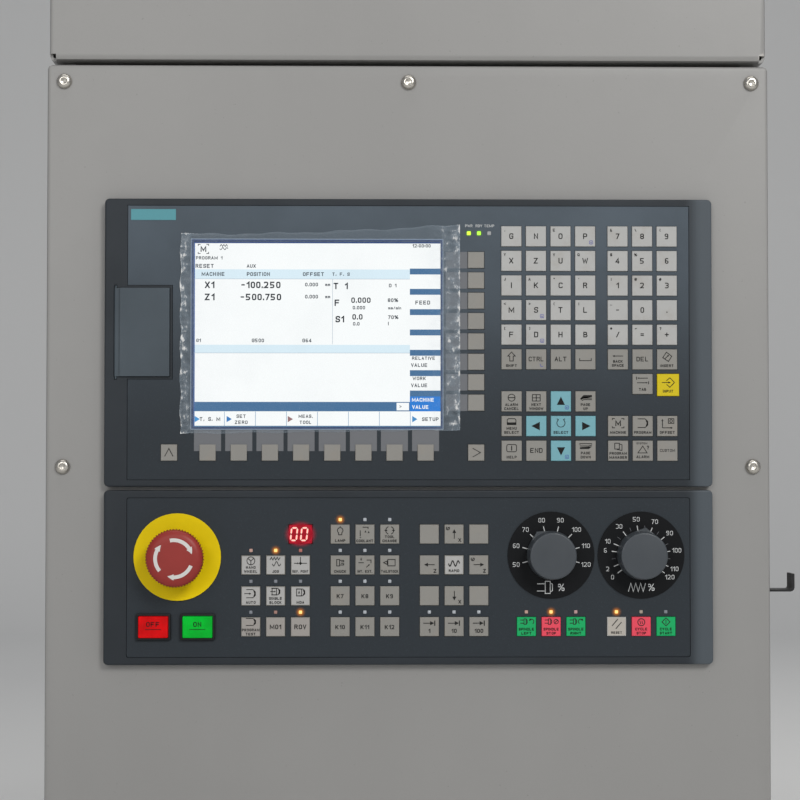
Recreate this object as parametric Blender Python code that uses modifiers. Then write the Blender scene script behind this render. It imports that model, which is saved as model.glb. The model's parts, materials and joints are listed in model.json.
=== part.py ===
"""Operator control station of a CNC lathe.

A sheet-metal box carries a display and keyboard unit above a machine control panel.
Z is up, the front looks towards -Y, and the origin is the middle of the box's underside.
All sizes are in metres.
"""

import math

import bmesh
import bpy
from mathutils import Matrix

# Clearance between pieces that meet, and the overlap of shapes joined into one piece.
CLEARANCE = 0.0003
WELD = 0.0006
MILLIMETRES = 1000.0

# Sheet-metal enclosure.
SHEET = 0.002
BEND_RADIUS = 0.003
COVER_SIDE_MARGIN = 0.0413
COVER_ABOVE_UNITS = 0.0945
COVER_BELOW_UNITS = 0.1435
COVER_RETURN = 0.015
STATION_DEPTH = 0.160
RIM_FLANGE = 0.022
RIM_PLAY = 0.0008

# Hood above the box, carried on four corner tabs.
HOOD_HEIGHT = 0.095
HOOD_GAP = 0.0035
HOOD_INSET = 0.0010
HOOD_SETBACK = 0.003
HOOD_LIP = 0.024
HOOD_NOTCH = 0.0045
TAB_WIDTH = 0.010
TAB_DEPTH = 0.008
TAB_EDGE = 0.006

# Button-head screws of the front cover.
SCREW_EDGE = 0.012
SCREW_HEAD_DIAMETER = 0.0105
SCREW_HEAD_HEIGHT = 0.0033
SCREW_SHANK_DIAMETER = 0.006
SCREW_LENGTH = 0.012
SCREW_SOCKET = 0.004
SCREW_SOCKET_DEPTH = 0.002

# Folded strip on the right side that holds a hand-held pulse wheel.
HOOK_THICKNESS = 0.0015
HOOK_DEPTH = 0.020
HOOK_REACH = 0.020
HOOK_RISE = 0.0125
HOOK_FOOT = 0.024
HOOK_BEND = 0.003
HOOK_HEIGHT = 0.192
HOOK_SETBACK = 0.018

# Frames of the two panel units.
UNIT_GAP = 0.0024
SIDE_STRIP = 0.0157
DISPLAY_RIM = 0.0046
MACHINE_RIM = 0.00505
FRAME_PROUD = 0.008
FRAME_CORNER = 0.003
FRAME_EDGE = 0.001
LEDGE = 0.005
COLLAR_WALL = 0.0025
COLLAR_DEPTH = 0.012
COLLAR_PLAY = 0.0005
FIELD_CORNER = 0.0015
PLATE_THICKNESS = 0.0025
PLATE_SINK = 0.0004
BOARD_THICKNESS = 0.0016
TUB_WALL = 0.0012
TUB_EDGE = 0.004
DISPLAY_TUB_DEPTH = 0.058
MACHINE_TUB_DEPTH = 0.046

# Keys, the mats that carry them and the switches behind.
KEY_PITCH = 0.01705
DISPLAY_KEY = 0.0140
INPUT_KEY = 0.0153
MACHINE_KEY = 0.0131
SOFT_KEY = 0.0112
KEY_PROUD = 0.0008
KEY_CHAMFER = 0.0003
KEY_TRAVEL = 0.0010
KEY_LIP = 0.0006
KEY_FLANGE = 0.0012
MAT_MARGIN = 0.0012

# Keyboard of the display unit, from the field's left and top edges to its right and bottom edges.
SCREEN_MARGIN = 0.0455
SCREEN_WIDTH = 0.1707
SCREEN_HEIGHT = 0.1282
SCREEN_TO_SOFT_KEYS = 0.0245
SOFT_KEYS_TO_LETTERS = 0.0245
LETTERS_TO_DIGITS = 0.0225
DIGITS_MARGIN = 0.0156
FIRST_ROW_MARGIN = 0.0212
EDIT_TO_NAVIGATION = 0.0291
LAST_ROW_MARGIN = 0.0202
SOFT_ROW_DROP = 0.0013
LETTER_COLUMNS = 4
DIGIT_COLUMNS = 3
LETTER_ROWS = 5
NAVIGATION_ROWS = 3
SCREEN_BELOW_TOP = 0.0250
SIDE_KEY_COUNT = 8
SIDE_KEYS_SHORT = 0.01532
SIDE_KEYS_BELOW_TOP = 0.0377
BOTTOM_KEY_COUNT = 8
BOTTOM_KEYS_OVERHANG = 0.00106
BOTTOM_KEYS_MARGIN = 0.0555
RECALL_KEY_MARGIN = 0.0290

# Screen module and the loose film over it.
SCREEN_BORDER = 0.006
SCREEN_MODULE_DEPTH = 0.0068
FILM_LEFT = 0.0079
FILM_RIGHT = 0.0134
FILM_TOP = 0.0095
FILM_BOTTOM = 0.0038
FILM_THICKNESS = 0.0004

# Port bay and its hinged flap.
FLAP_LEFT = 0.0067
FLAP_WIDTH = 0.0382
FLAP_HEIGHT = 0.0610
FLAP_BELOW_TOP = 0.0620
FLAP_THICKNESS = 0.0022
FLAP_PROUD = 0.0006
FLAP_PAD_START = 0.0040
FLAP_PAD_HEIGHT = 0.0015
FLAP_PIN_DIAMETER = 0.0014
FLAP_PIN_LENGTH = 0.0017
BAY_WALL = 0.0015
BAY_FLOOR = 0.003
PORT_BLOCK_WIDTH = 0.0190
PORT_BLOCK_HEIGHT = 0.0500
PORT_BLOCK_DEPTH = 0.0100
PORT_BLOCK_INSET = 0.0135
PORT_DEPTH = 0.0080
USB_WIDTH = 0.0056
USB_HEIGHT = 0.0126
NETWORK_WIDTH = 0.0085
NETWORK_HEIGHT = 0.0118
PORT_PITCH = 0.0160

# Machine control panel, chained from the field's right edge to the left.
MACHINE_ROWS = 4
MACHINE_ROW_PITCH = 0.0212
MACHINE_FIRST_ROW = 0.0252
MACHINE_LAST_ROW = 0.0211
GROUP_COLUMNS = 3
GROUP_GAP_EXTRA = 0.0002875
DIAL_GAP_SAVED = 0.0006125
DIAL_DIAMETER = 0.060
DIAL_GAP = 0.0022
DIAL_MARGIN = 0.0041
DIAL_BELOW_TOP = 0.0397
DIAL_THICKNESS = 0.0005
LED_ABOVE_KEY = 0.0100
MACHINE_LED = 0.0024
DISPLAY_LED = 0.0028
DISPLAY_LED_PITCH = 0.00705
DISPLAY_LED_BELOW_TOP = 0.0190

# Rotary override switches and their knobs.
KNOB_DIAMETER = 0.0335
KNOB_TAPER = 0.0008
KNOB_HEIGHT = 0.0190
KNOB_EDGE = 0.0010
KNOB_NOSE = 0.0025
KNOB_NOSE_HEIGHT = 0.0060
KNOB_NOSE_WIDTH = 0.0160
KNOB_BORE_DEPTH = 0.0150
SPINDLE_POINTER_DEG = -32.0
FEED_POINTER_DEG = 7.5
SHAFT_DIAMETER = 0.006
BUSH_DIAMETER = 0.010
SWITCH_SIZE = 0.026
SWITCH_DEPTH = 0.012
SWITCH_FLOOR = 0.002

# Emergency stop.
ESTOP_MARGIN = 0.0050
ESTOP_RING_DIAMETER = 0.060
ESTOP_BELOW_TOP = 0.0408
ESTOP_RING_THICKNESS = 0.0015
ESTOP_BUSH_DIAMETER = 0.022
ESTOP_COLLAR_DIAMETER = 0.030
ESTOP_COLLAR_HEIGHT = 0.003
ESTOP_HEAD_DIAMETER = 0.040
ESTOP_HEAD_HEIGHT = 0.0190
ESTOP_SKIRT_HEIGHT = 0.0080
ESTOP_STEM_DIAMETER = 0.012
ESTOP_TRAVEL = 0.005
ESTOP_BLOCK_SIZE = 0.036
ESTOP_BLOCK_DEPTH = 0.030
ESTOP_BLOCK_BEHIND = 0.0095
ESTOP_FLOOR = 0.003
ESTOP_TEETH = 32
ESTOP_TOOTH_DEPTH = 0.0006

# Illuminated push buttons.
BUTTON_LENS_WIDTH = 0.0204
BUTTON_LENS_HEIGHT = 0.0148
BUTTON_BEZEL = 0.0014
BUTTON_BEZEL_HEIGHT = 0.0026
BUTTON_WALL = 0.0008
BUTTON_PROUD = 0.0016
BUTTON_BODY_DEPTH = 0.018
BUTTON_CAP_DEPTH = 0.014
BUTTON_FLOOR = 0.002
BUTTON_PITCH = 0.0303
BUTTON_BESIDE_ESTOP = 0.0162
BUTTON_ABOVE_BOTTOM = 0.0212

# Two-digit display.
DIGITS_WINDOW_WIDTH = 0.0170
DIGITS_WINDOW_HEIGHT = 0.0140
DIGITS_SINK = 0.0002

# Depths along Y, counted from the cover's face.
FACE_Y = -STATION_DEPTH / 2
BACK_Y = STATION_DEPTH / 2
FRAME_FRONT = FACE_Y - FRAME_PROUD
FRAME_BACK = FACE_Y - CLEARANCE
PLATE_FRONT = FRAME_FRONT + PLATE_SINK
PLATE_BACK = PLATE_FRONT + PLATE_THICKNESS
LEDGE_FRONT = PLATE_BACK + CLEARANCE
FLANGE_BACK = LEDGE_FRONT + KEY_FLANGE
MAT_BACK = FLANGE_BACK + KEY_TRAVEL
BOARD_FRONT = MAT_BACK + CLEARANCE
BOARD_BACK = BOARD_FRONT + BOARD_THICKNESS
TUB_FRONT = BOARD_BACK + CLEARANCE
COLLAR_BACK = FACE_Y + SHEET + COLLAR_DEPTH
FLAP_FRONT = FRAME_FRONT - FLAP_PROUD
FLAP_AXIS_Y = FLAP_FRONT + FLAP_THICKNESS / 2
BEZEL_BACK = PLATE_FRONT - CLEARANCE
KEY_FRONT = PLATE_FRONT - KEY_PROUD

# Sizes that follow from the keyboard's layout.
FIELD_WIDTH = (SCREEN_MARGIN + SCREEN_WIDTH + SCREEN_TO_SOFT_KEYS + SOFT_KEYS_TO_LETTERS
               + (LETTER_COLUMNS - 1) * KEY_PITCH + LETTERS_TO_DIGITS
               + (DIGIT_COLUMNS - 1) * KEY_PITCH + DIGITS_MARGIN)
DISPLAY_FIELD_HEIGHT = (FIRST_ROW_MARGIN + LETTER_ROWS * KEY_PITCH + EDIT_TO_NAVIGATION
                        + (NAVIGATION_ROWS - 1) * KEY_PITCH + LAST_ROW_MARGIN)
MACHINE_FIELD_HEIGHT = (MACHINE_FIRST_ROW + (MACHINE_ROWS - 1) * MACHINE_ROW_PITCH
                        + MACHINE_LAST_ROW)
UNIT_WIDTH = FIELD_WIDTH + 2 * SIDE_STRIP
DISPLAY_HEIGHT = DISPLAY_FIELD_HEIGHT + 2 * DISPLAY_RIM
MACHINE_HEIGHT = MACHINE_FIELD_HEIGHT + 2 * MACHINE_RIM
COVER_WIDTH = UNIT_WIDTH + 2 * COVER_SIDE_MARGIN
COVER_HEIGHT = COVER_ABOVE_UNITS + DISPLAY_HEIGHT + UNIT_GAP + MACHINE_HEIGHT + COVER_BELOW_UNITS
DISPLAY_Z = COVER_HEIGHT - COVER_ABOVE_UNITS - DISPLAY_HEIGHT / 2
MACHINE_Z = DISPLAY_Z - DISPLAY_HEIGHT / 2 - UNIT_GAP - MACHINE_HEIGHT / 2
FIELD_LEFT = -FIELD_WIDTH / 2
FIELD_RIGHT = FIELD_WIDTH / 2
DISPLAY_FIELD_TOP = DISPLAY_Z + DISPLAY_FIELD_HEIGHT / 2
MACHINE_FIELD_TOP = MACHINE_Z + MACHINE_FIELD_HEIGHT / 2
SCREEN_LEFT = FIELD_LEFT + SCREEN_MARGIN
SCREEN_RIGHT = SCREEN_LEFT + SCREEN_WIDTH
SCREEN_TOP = DISPLAY_FIELD_TOP - SCREEN_BELOW_TOP
SCREEN_BOTTOM = SCREEN_TOP - SCREEN_HEIGHT
SIDE_KEY_X = SCREEN_RIGHT + SCREEN_TO_SOFT_KEYS
SIDE_KEY_PITCH = (SCREEN_HEIGHT - SIDE_KEYS_SHORT) / SIDE_KEY_COUNT
BOTTOM_KEY_PITCH = (SCREEN_WIDTH + BOTTOM_KEYS_OVERHANG) / BOTTOM_KEY_COUNT
LETTER_X = SIDE_KEY_X + SOFT_KEYS_TO_LETTERS
DIGIT_X = LETTER_X + (LETTER_COLUMNS - 1) * KEY_PITCH + LETTERS_TO_DIGITS
LETTER_Z = DISPLAY_FIELD_TOP - FIRST_ROW_MARGIN
EDIT_Z = LETTER_Z - LETTER_ROWS * KEY_PITCH
NAVIGATION_Z = EDIT_Z - EDIT_TO_NAVIGATION
SOFT_ROW_Z = NAVIGATION_Z - (NAVIGATION_ROWS - 1) * KEY_PITCH - SOFT_ROW_DROP
FLAP_X = FIELD_LEFT - SIDE_STRIP + FLAP_LEFT
FLAP_TOP = DISPLAY_Z + DISPLAY_HEIGHT / 2 - FLAP_BELOW_TOP
FLAP_BOTTOM = FLAP_TOP - FLAP_HEIGHT
BAY_RIGHT = FLAP_X + FLAP_WIDTH + CLEARANCE + BAY_WALL
BAY_TOP = FLAP_TOP + CLEARANCE + BAY_WALL
BAY_BOTTOM = FLAP_BOTTOM - CLEARANCE - BAY_WALL
DIAL_Z = MACHINE_FIELD_TOP - DIAL_BELOW_TOP
FEED_X = FIELD_RIGHT - DIAL_MARGIN - DIAL_DIAMETER / 2
SPINDLE_X = FEED_X - DIAL_DIAMETER - DIAL_GAP
GROUP_WIDTH = (GROUP_COLUMNS - 1) * KEY_PITCH + MACHINE_KEY
MEAN_GAP = (FIELD_WIDTH - ESTOP_MARGIN - ESTOP_RING_DIAMETER - 3 * GROUP_WIDTH
            - 2 * DIAL_DIAMETER - DIAL_GAP - DIAL_MARGIN) / 4
GROUP_GAP = MEAN_GAP + GROUP_GAP_EXTRA
DIAL_TO_GROUP = MEAN_GAP - DIAL_GAP_SAVED
AXES_X = SPINDLE_X - DIAL_DIAMETER / 2 - DIAL_TO_GROUP - GROUP_WIDTH / 2
FUNCTIONS_X = AXES_X - GROUP_WIDTH - GROUP_GAP
MODES_X = FUNCTIONS_X - GROUP_WIDTH - GROUP_GAP
MACHINE_ROW_Z = MACHINE_FIELD_TOP - MACHINE_FIRST_ROW
ESTOP_X = FIELD_LEFT + ESTOP_MARGIN + ESTOP_RING_DIAMETER / 2
ESTOP_Z = MACHINE_FIELD_TOP - ESTOP_BELOW_TOP
BUTTON_Z = MACHINE_FIELD_TOP - MACHINE_FIELD_HEIGHT + BUTTON_ABOVE_BOTTOM
RED_BUTTON_X = ESTOP_X - BUTTON_BESIDE_ESTOP
GREEN_BUTTON_X = RED_BUTTON_X + BUTTON_PITCH


# Scene and materials.

def clear_scene():
    """Remove every object that the new file holds."""
    for existing in list(bpy.data.objects):
        bpy.data.objects.remove(existing, do_unlink=True)


def new_collection(name):
    collection = bpy.data.collections.new(name)
    bpy.context.scene.collection.children.link(collection)
    return collection


def new_material(name, colour, roughness, metallic=0.0):
    material = bpy.data.materials.new(name)
    material.use_nodes = True
    shader = material.node_tree.nodes["Principled BSDF"]
    shader.inputs["Base Color"].default_value = (*colour, 1.0)
    shader.inputs["Roughness"].default_value = roughness
    shader.inputs["Metallic"].default_value = metallic
    material.diffuse_color = (*colour, 1.0)
    return material


clear_scene()
STATION = new_collection("operator_station")
CUTTERS = new_collection("cutters")

GREY_PAINT = new_material("grey_paint", (0.283, 0.283, 0.283), 0.42)
BLACK_STEEL = new_material("black_steel", (0.02, 0.02, 0.02), 0.5)
STAINLESS = new_material("stainless", (0.60, 0.59, 0.57), 0.28, 1.0)
SLATE_FRAME = new_material("slate_frame", (0.052, 0.060, 0.071), 0.45)
SLATE_PLATE = new_material("slate_plate", (0.048, 0.055, 0.066), 0.50)
KEY_LIGHT = new_material("key_light", (0.39, 0.41, 0.40), 0.55)
KEY_GREY = new_material("key_grey", (0.27, 0.255, 0.238), 0.55)
KEY_CYAN = new_material("key_cyan", (0.171, 0.366, 0.407), 0.55)
KEY_YELLOW = new_material("key_yellow", (0.597, 0.491, 0.009), 0.55)
KEY_GREEN = new_material("key_green", (0.007, 0.332, 0.120), 0.55)
KEY_RED = new_material("key_red", (0.515, 0.076, 0.100), 0.55)
SCREEN_GLASS = new_material("screen_glass", (0.85, 0.87, 0.90), 0.12)
CLEAR_FILM = new_material("clear_film", (0.80, 0.82, 0.83), 0.15)
BOARD_GREEN = new_material("board_green", (0.02, 0.12, 0.05), 0.5)
ZINC_SHEET = new_material("zinc_sheet", (0.45, 0.45, 0.46), 0.35, 1.0)
PORT_BLACK = new_material("port_black", (0.015, 0.015, 0.016), 0.45)
STOP_YELLOW = new_material("stop_yellow", (0.72, 0.58, 0.0), 0.45)
STOP_RED = new_material("stop_red", (0.30, 0.035, 0.035), 0.40)
DIAL_BLACK = new_material("dial_black", (0.012, 0.013, 0.015), 0.45)
KNOB_GREY = new_material("knob_grey", (0.068, 0.074, 0.083), 0.45)
LENS_RED = new_material("lens_red", (0.62, 0.01, 0.015), 0.25)
LENS_GREEN = new_material("lens_green", (0.005, 0.45, 0.06), 0.25)
SEGMENT_RED = new_material("segment_red", (0.35, 0.01, 0.02), 0.25)


# Meshes and modifiers.

def add_object(name, mesh, material, collection=None):
    """Link a mesh as a new object with its one material."""
    piece = bpy.data.objects.new(name, mesh)
    (collection or STATION).objects.link(piece)
    if material is not None:
        mesh.materials.clear()
        mesh.materials.append(material)
    return piece


def finish_bmesh(shape, name, material, collection=None):
    """Turn a bmesh into an object whose faces point outwards."""
    bmesh.ops.recalc_face_normals(shape, faces=shape.faces)
    mesh = bpy.data.meshes.new(name)
    shape.to_mesh(mesh)
    shape.free()
    return add_object(name, mesh, material, collection)


def smooth(piece, degrees=32.0):
    piece.data.shade_smooth()
    piece.data.set_sharp_from_angle(angle=math.radians(degrees))
    return piece


def add_block(shape, x_range, y_range, z_range):
    """Add a box between two corners and return its new vertices."""
    centre = [(low + high) / 2 for low, high in (x_range, y_range, z_range)]
    size = [high - low for low, high in (x_range, y_range, z_range)]
    matrix = Matrix.Translation(centre) @ Matrix.Diagonal((*size, 1.0))
    return bmesh.ops.create_cube(shape, size=1.0, matrix=matrix)["verts"]


def edges_of(vertices):
    return {edge for vertex in vertices for edge in vertex.link_edges}


def runs_along(edge, axis):
    """Say whether an edge runs along one axis, given as 0, 1 or 2."""
    step = edge.verts[1].co - edge.verts[0].co
    return abs(step[axis]) > 0.999 * step.length


def lies_at(edge, axis, value):
    return all(abs(vertex.co[axis] - value) < 1e-6 for vertex in edge.verts)


def round_edges(shape, edges, radius, segments):
    bmesh.ops.bevel(shape, geom=list(edges), offset=radius, offset_type="OFFSET",
                    segments=segments, profile=0.5, affect="EDGES", clamp_overlap=True)


def slab(name, x_range, y_range, z_range, material, corner=0.0, front_edge=0.0, segments=3):
    """Box with rounded corners seen from the front and a rounded front edge."""
    shape = bmesh.new()
    vertices = add_block(shape, x_range, y_range, z_range)
    if corner > 0:
        upright = [edge for edge in edges_of(vertices) if runs_along(edge, 1)]
        round_edges(shape, upright, corner, segments)
    if front_edge > 0:
        front = [edge for edge in shape.edges if lies_at(edge, 1, y_range[0])]
        round_edges(shape, front, front_edge, 2)
    return finish_bmesh(shape, name, material)


def blocks(name, ranges, material=None, front_chamfer=0.0, collection=None):
    """Several separate boxes in one mesh, each with a chamfer round its front face if asked."""
    shape = bmesh.new()
    for x_range, y_range, z_range in ranges:
        vertices = add_block(shape, x_range, y_range, z_range)
        if front_chamfer > 0:
            front = [edge for edge in edges_of(vertices) if lies_at(edge, 1, y_range[0])]
            round_edges(shape, front, front_chamfer, 1)
    return finish_bmesh(shape, name, material, collection)


def turned(name, profile, steps, material, x, z, collection=None):
    """Piece turned about an axis along Y through (x, z).

    The profile is a list of (radius, y) from the back of the axis round the outside to the
    front of the axis, or the other way round for the same solid.
    """
    mesh = bpy.data.meshes.new(name)
    points = [(radius, 0.0, -y) for radius, y in profile]
    edges = [(index, index + 1) for index in range(len(points) - 1)]
    mesh.from_pydata(points, edges, [])
    guide = bpy.data.objects.new(name + "_profile", mesh)
    STATION.objects.link(guide)
    screw = guide.modifiers.new("Turn", "SCREW")
    screw.axis = "Z"
    screw.steps = steps
    screw.render_steps = steps
    screw.use_merge_vertices = True
    screw.merge_threshold = 0.00001
    screw.use_normal_calculate = True
    solid = evaluated_mesh(guide, name)
    bpy.data.objects.remove(guide, do_unlink=True)
    place = Matrix.Translation((x, 0.0, z)) @ Matrix.Rotation(math.radians(90), 4, "X")
    solid.transform(place)
    return add_object(name, solid, material, collection)


def evaluated_mesh(source, name, weld=0.000002):
    """Mesh of an object with its modifiers applied, welded and facing outwards."""
    bpy.context.view_layer.update()
    graph = bpy.context.evaluated_depsgraph_get()
    mesh = bpy.data.meshes.new_from_object(source.evaluated_get(graph))
    mesh.name = name
    shape = bmesh.new()
    shape.from_mesh(mesh)
    bmesh.ops.remove_doubles(shape, verts=shape.verts, dist=weld)
    bmesh.ops.recalc_face_normals(shape, faces=shape.faces)
    shape.to_mesh(mesh)
    shape.free()
    return mesh


def disc(name, diameter, y_range, steps, material, x, z, hole=0.0, collection=None):
    """Round plate or rod along Y, with a hole through it if asked."""
    outer = diameter / 2
    inner = hole / 2
    profile = [(inner, y_range[1]), (outer, y_range[1]), (outer, y_range[0]), (inner, y_range[0])]
    if hole > 0:
        profile.append(profile[0])
    return turned(name, profile, steps, material, x, z, collection)


def rectangle(x_range, z_range, corner=0.0, segments=3):
    """Outline of a rectangle in the front view, with arcs at its corners if asked."""
    low_x, high_x = x_range
    low_z, high_z = z_range
    if corner <= 0:
        return [(low_x, low_z), (high_x, low_z), (high_x, high_z), (low_x, high_z)]
    centres = [(high_x - corner, high_z - corner, 0), (low_x + corner, high_z - corner, 90),
               (low_x + corner, low_z + corner, 180), (high_x - corner, low_z + corner, 270)]
    points = []
    for x, z, start in centres:
        for step in range(segments + 1):
            angle = math.radians(start + 90 * step / segments)
            points.append((x + corner * math.cos(angle), z + corner * math.sin(angle)))
    return points


def circle(x, z, diameter, steps=28):
    turns = [2 * math.pi * step / steps for step in range(steps)]
    return [(x + diameter / 2 * math.cos(turn), z + diameter / 2 * math.sin(turn))
            for turn in turns]


def notched(x_range, z_range, notch_x, notch_z):
    """Rectangle whose left side has a rectangular notch in it, as deep as notch_x."""
    low_x, high_x = x_range
    low_z, high_z = z_range
    return [(low_x, low_z), (high_x, low_z), (high_x, high_z), (low_x, high_z),
            (low_x, notch_z[1]), (notch_x, notch_z[1]), (notch_x, notch_z[0]), (low_x, notch_z[0])]


def plate(name, outline, holes, y_range, material, collection=None):
    """Flat plate cut to an outline with holes, standing upright between two depths.

    The outline is drawn in millimetres and brought back to metres as a mesh.
    """
    curve = bpy.data.curves.new(name, "CURVE")
    curve.dimensions = "2D"
    curve.fill_mode = "BOTH"
    curve.extrude = (y_range[1] - y_range[0]) / 2 * MILLIMETRES
    for ring in [outline, *holes]:
        spline = curve.splines.new("POLY")
        spline.points.add(len(ring) - 1)
        for point, (x, z) in zip(spline.points, ring):
            point.co = (x * MILLIMETRES, z * MILLIMETRES, 0.0, 1.0)
        spline.use_cyclic_u = True
    guide = bpy.data.objects.new(name + "_outline", curve)
    STATION.objects.link(guide)
    mesh = evaluated_mesh(guide, name, 0.001)
    bpy.data.objects.remove(guide, do_unlink=True)
    place = Matrix.Translation((0.0, (y_range[0] + y_range[1]) / 2, 0.0))
    mesh.transform(place @ Matrix.Rotation(math.radians(90), 4, "X") @ Matrix.Scale(1 / MILLIMETRES, 4))
    return add_object(name, mesh, material, collection)


def hide_cutter(cutter):
    for collection in list(cutter.users_collection):
        collection.objects.unlink(cutter)
    CUTTERS.objects.link(cutter)
    cutter.hide_render = True
    cutter.display_type = "WIRE"


def combine(piece, other, operation):
    hide_cutter(other)
    boolean = piece.modifiers.new(other.name, "BOOLEAN")
    boolean.operation = operation
    boolean.solver = "EXACT"
    boolean.object = other
    return piece


def cut(piece, cutter):
    return combine(piece, cutter, "DIFFERENCE")


def join(piece, other):
    return combine(piece, other, "UNION")


def add_solidify(piece, thickness):
    wall = piece.modifiers.new("Wall", "SOLIDIFY")
    wall.thickness = thickness
    wall.offset = -1.0
    wall.use_even_offset = True
    return piece


def span(centre, size):
    """Range of a length that is centred on a place."""
    return (centre - size / 2, centre + size / 2)


# Enclosure.

def screw_places():
    """Centres of the cover's screws: three at the top, two at mid height, three below."""
    side = COVER_WIDTH / 2 - SCREW_EDGE
    top = COVER_HEIGHT - SCREW_EDGE
    middle = COVER_HEIGHT / 2
    return [(-side, top), (0.0, top), (side, top), (-side, middle), (side, middle),
            (-side, SCREW_EDGE), (0.0, SCREW_EDGE), (side, SCREW_EDGE)]


def screw_holes(name, diameter):
    """Cutter with one rod for each screw, long enough for the cover and the rim behind it."""
    shape = bmesh.new()
    for x, z in screw_places():
        place = Matrix.Translation((x, FACE_Y, z)) @ Matrix.Rotation(math.radians(90), 4, "X")
        bmesh.ops.create_cone(shape, cap_ends=True, segments=16, radius1=diameter / 2,
                              radius2=diameter / 2, depth=4 * COVER_RETURN, matrix=place)
    return finish_bmesh(shape, name, None)


def folded_box(name, shape, edges, material):
    """Sheet-metal piece from an open surface: rounds its bends and gives it its wall."""
    round_edges(shape, edges, BEND_RADIUS, 2)
    piece = finish_bmesh(shape, name, material)
    add_solidify(piece, SHEET)
    return piece


def face_at(shape, axis, value):
    return next(face for face in shape.faces
                if all(abs(vertex.co[axis] - value) < 1e-6 for vertex in face.verts))


def build_housing_shell():
    """Box behind the cover: closed back and sides, joggled rim and an inward flange in front."""
    shoulder_y = FACE_Y + COVER_RETURN + CLEARANCE
    flange_y = FACE_Y + SHEET + CLEARANCE
    shape = bmesh.new()
    add_block(shape, span(0.0, COVER_WIDTH), (shoulder_y, BACK_Y), (0.0, COVER_HEIGHT))
    outer = [edge for edge in shape.edges if not lies_at(edge, 1, shoulder_y)]
    front = face_at(shape, 1, shoulder_y)
    bmesh.ops.inset_individual(shape, faces=[front], thickness=SHEET + RIM_PLAY, use_even_offset=True)
    rim = bmesh.ops.extrude_discrete_faces(shape, faces=[front])["faces"][0]
    bmesh.ops.translate(shape, verts=rim.verts, vec=(0.0, flange_y - shoulder_y, 0.0))
    bmesh.ops.inset_individual(shape, faces=[rim], thickness=RIM_FLANGE, use_even_offset=True)
    bmesh.ops.delete(shape, geom=[rim], context="FACES_ONLY")
    shell = folded_box("housing_shell", shape, outer, GREY_PAINT)
    tab_x = COVER_WIDTH / 2 - HOOD_INSET - TAB_EDGE - TAB_WIDTH / 2
    front_tab_y = shoulder_y + SHEET + TAB_DEPTH / 2
    back_tab_y = BACK_Y - TAB_EDGE - TAB_DEPTH / 2
    tabs = [(span(side * tab_x, TAB_WIDTH), span(y, TAB_DEPTH),
             (COVER_HEIGHT - SHEET / 2, COVER_HEIGHT + HOOD_GAP - CLEARANCE))
            for side in (-1, 1) for y in (front_tab_y, back_tab_y)]
    join(shell, blocks("hood_tabs", tabs))
    cut(shell, screw_holes("rim_screw_holes", SCREW_SHANK_DIAMETER + 2 * CLEARANCE))
    return shell


def build_front_cover():
    """Shallow pan over the rim, with the two unit windows and the screw holes."""
    shape = bmesh.new()
    return_y = FACE_Y + COVER_RETURN
    add_block(shape, span(0.0, COVER_WIDTH), (FACE_Y, return_y), (0.0, COVER_HEIGHT))
    bends = [edge for edge in shape.edges if not lies_at(edge, 1, return_y)]
    bmesh.ops.delete(shape, geom=[face_at(shape, 1, return_y)], context="FACES_ONLY")
    cover = folded_box("front_cover", shape, bends, GREY_PAINT)
    windows = []
    for centre_z, field_height in ((DISPLAY_Z, DISPLAY_FIELD_HEIGHT), (MACHINE_Z, MACHINE_FIELD_HEIGHT)):
        inset = 2 * (LEDGE - COLLAR_WALL - COLLAR_PLAY)
        windows.append((span(0.0, FIELD_WIDTH - inset), span(FACE_Y, 6 * SHEET),
                        span(centre_z, field_height - inset)))
    cut(cover, blocks("unit_windows", windows))
    cut(cover, screw_holes("cover_screw_holes", SCREW_SHANK_DIAMETER + 2 * CLEARANCE))
    return cover


def build_cover_screws():
    """Eight button-head screws with a hexagonal socket, sharing one mesh."""
    head = SCREW_HEAD_DIAMETER / 2
    shank = SCREW_SHANK_DIAMETER / 2
    under = -CLEARANCE
    crown = under - SCREW_HEAD_HEIGHT
    profile = [(0.0, under + SCREW_LENGTH), (shank, under + SCREW_LENGTH), (shank, under),
               (head, under), (head, under - 0.15 * SCREW_HEAD_HEIGHT),
               (0.86 * head, under - 0.62 * SCREW_HEAD_HEIGHT), (0.55 * head, crown), (0.0, crown)]
    pattern = turned("screw_pattern", profile, 12, STAINLESS, 0.0, 0.0)
    shape = bmesh.new()
    radius = SCREW_SOCKET / math.sqrt(3)
    bmesh.ops.create_cone(shape, cap_ends=True, segments=6, radius1=radius, radius2=radius,
                          depth=2 * SCREW_SOCKET_DEPTH,
                          matrix=Matrix.Translation((0.0, crown, 0.0)) @ Matrix.Rotation(math.radians(90), 4, "X"))
    cut(pattern, finish_bmesh(shape, "screw_socket", None))
    mesh = evaluated_mesh(pattern, "cover_screw")
    bpy.data.objects.remove(pattern, do_unlink=True)
    for index, (x, z) in enumerate(screw_places(), start=1):
        screw = add_object(f"cover_screw_{index}", mesh, None)
        screw.location = (x, FACE_Y, z)
        smooth(screw)
    mesh.materials.clear()
    mesh.materials.append(STAINLESS)


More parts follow.
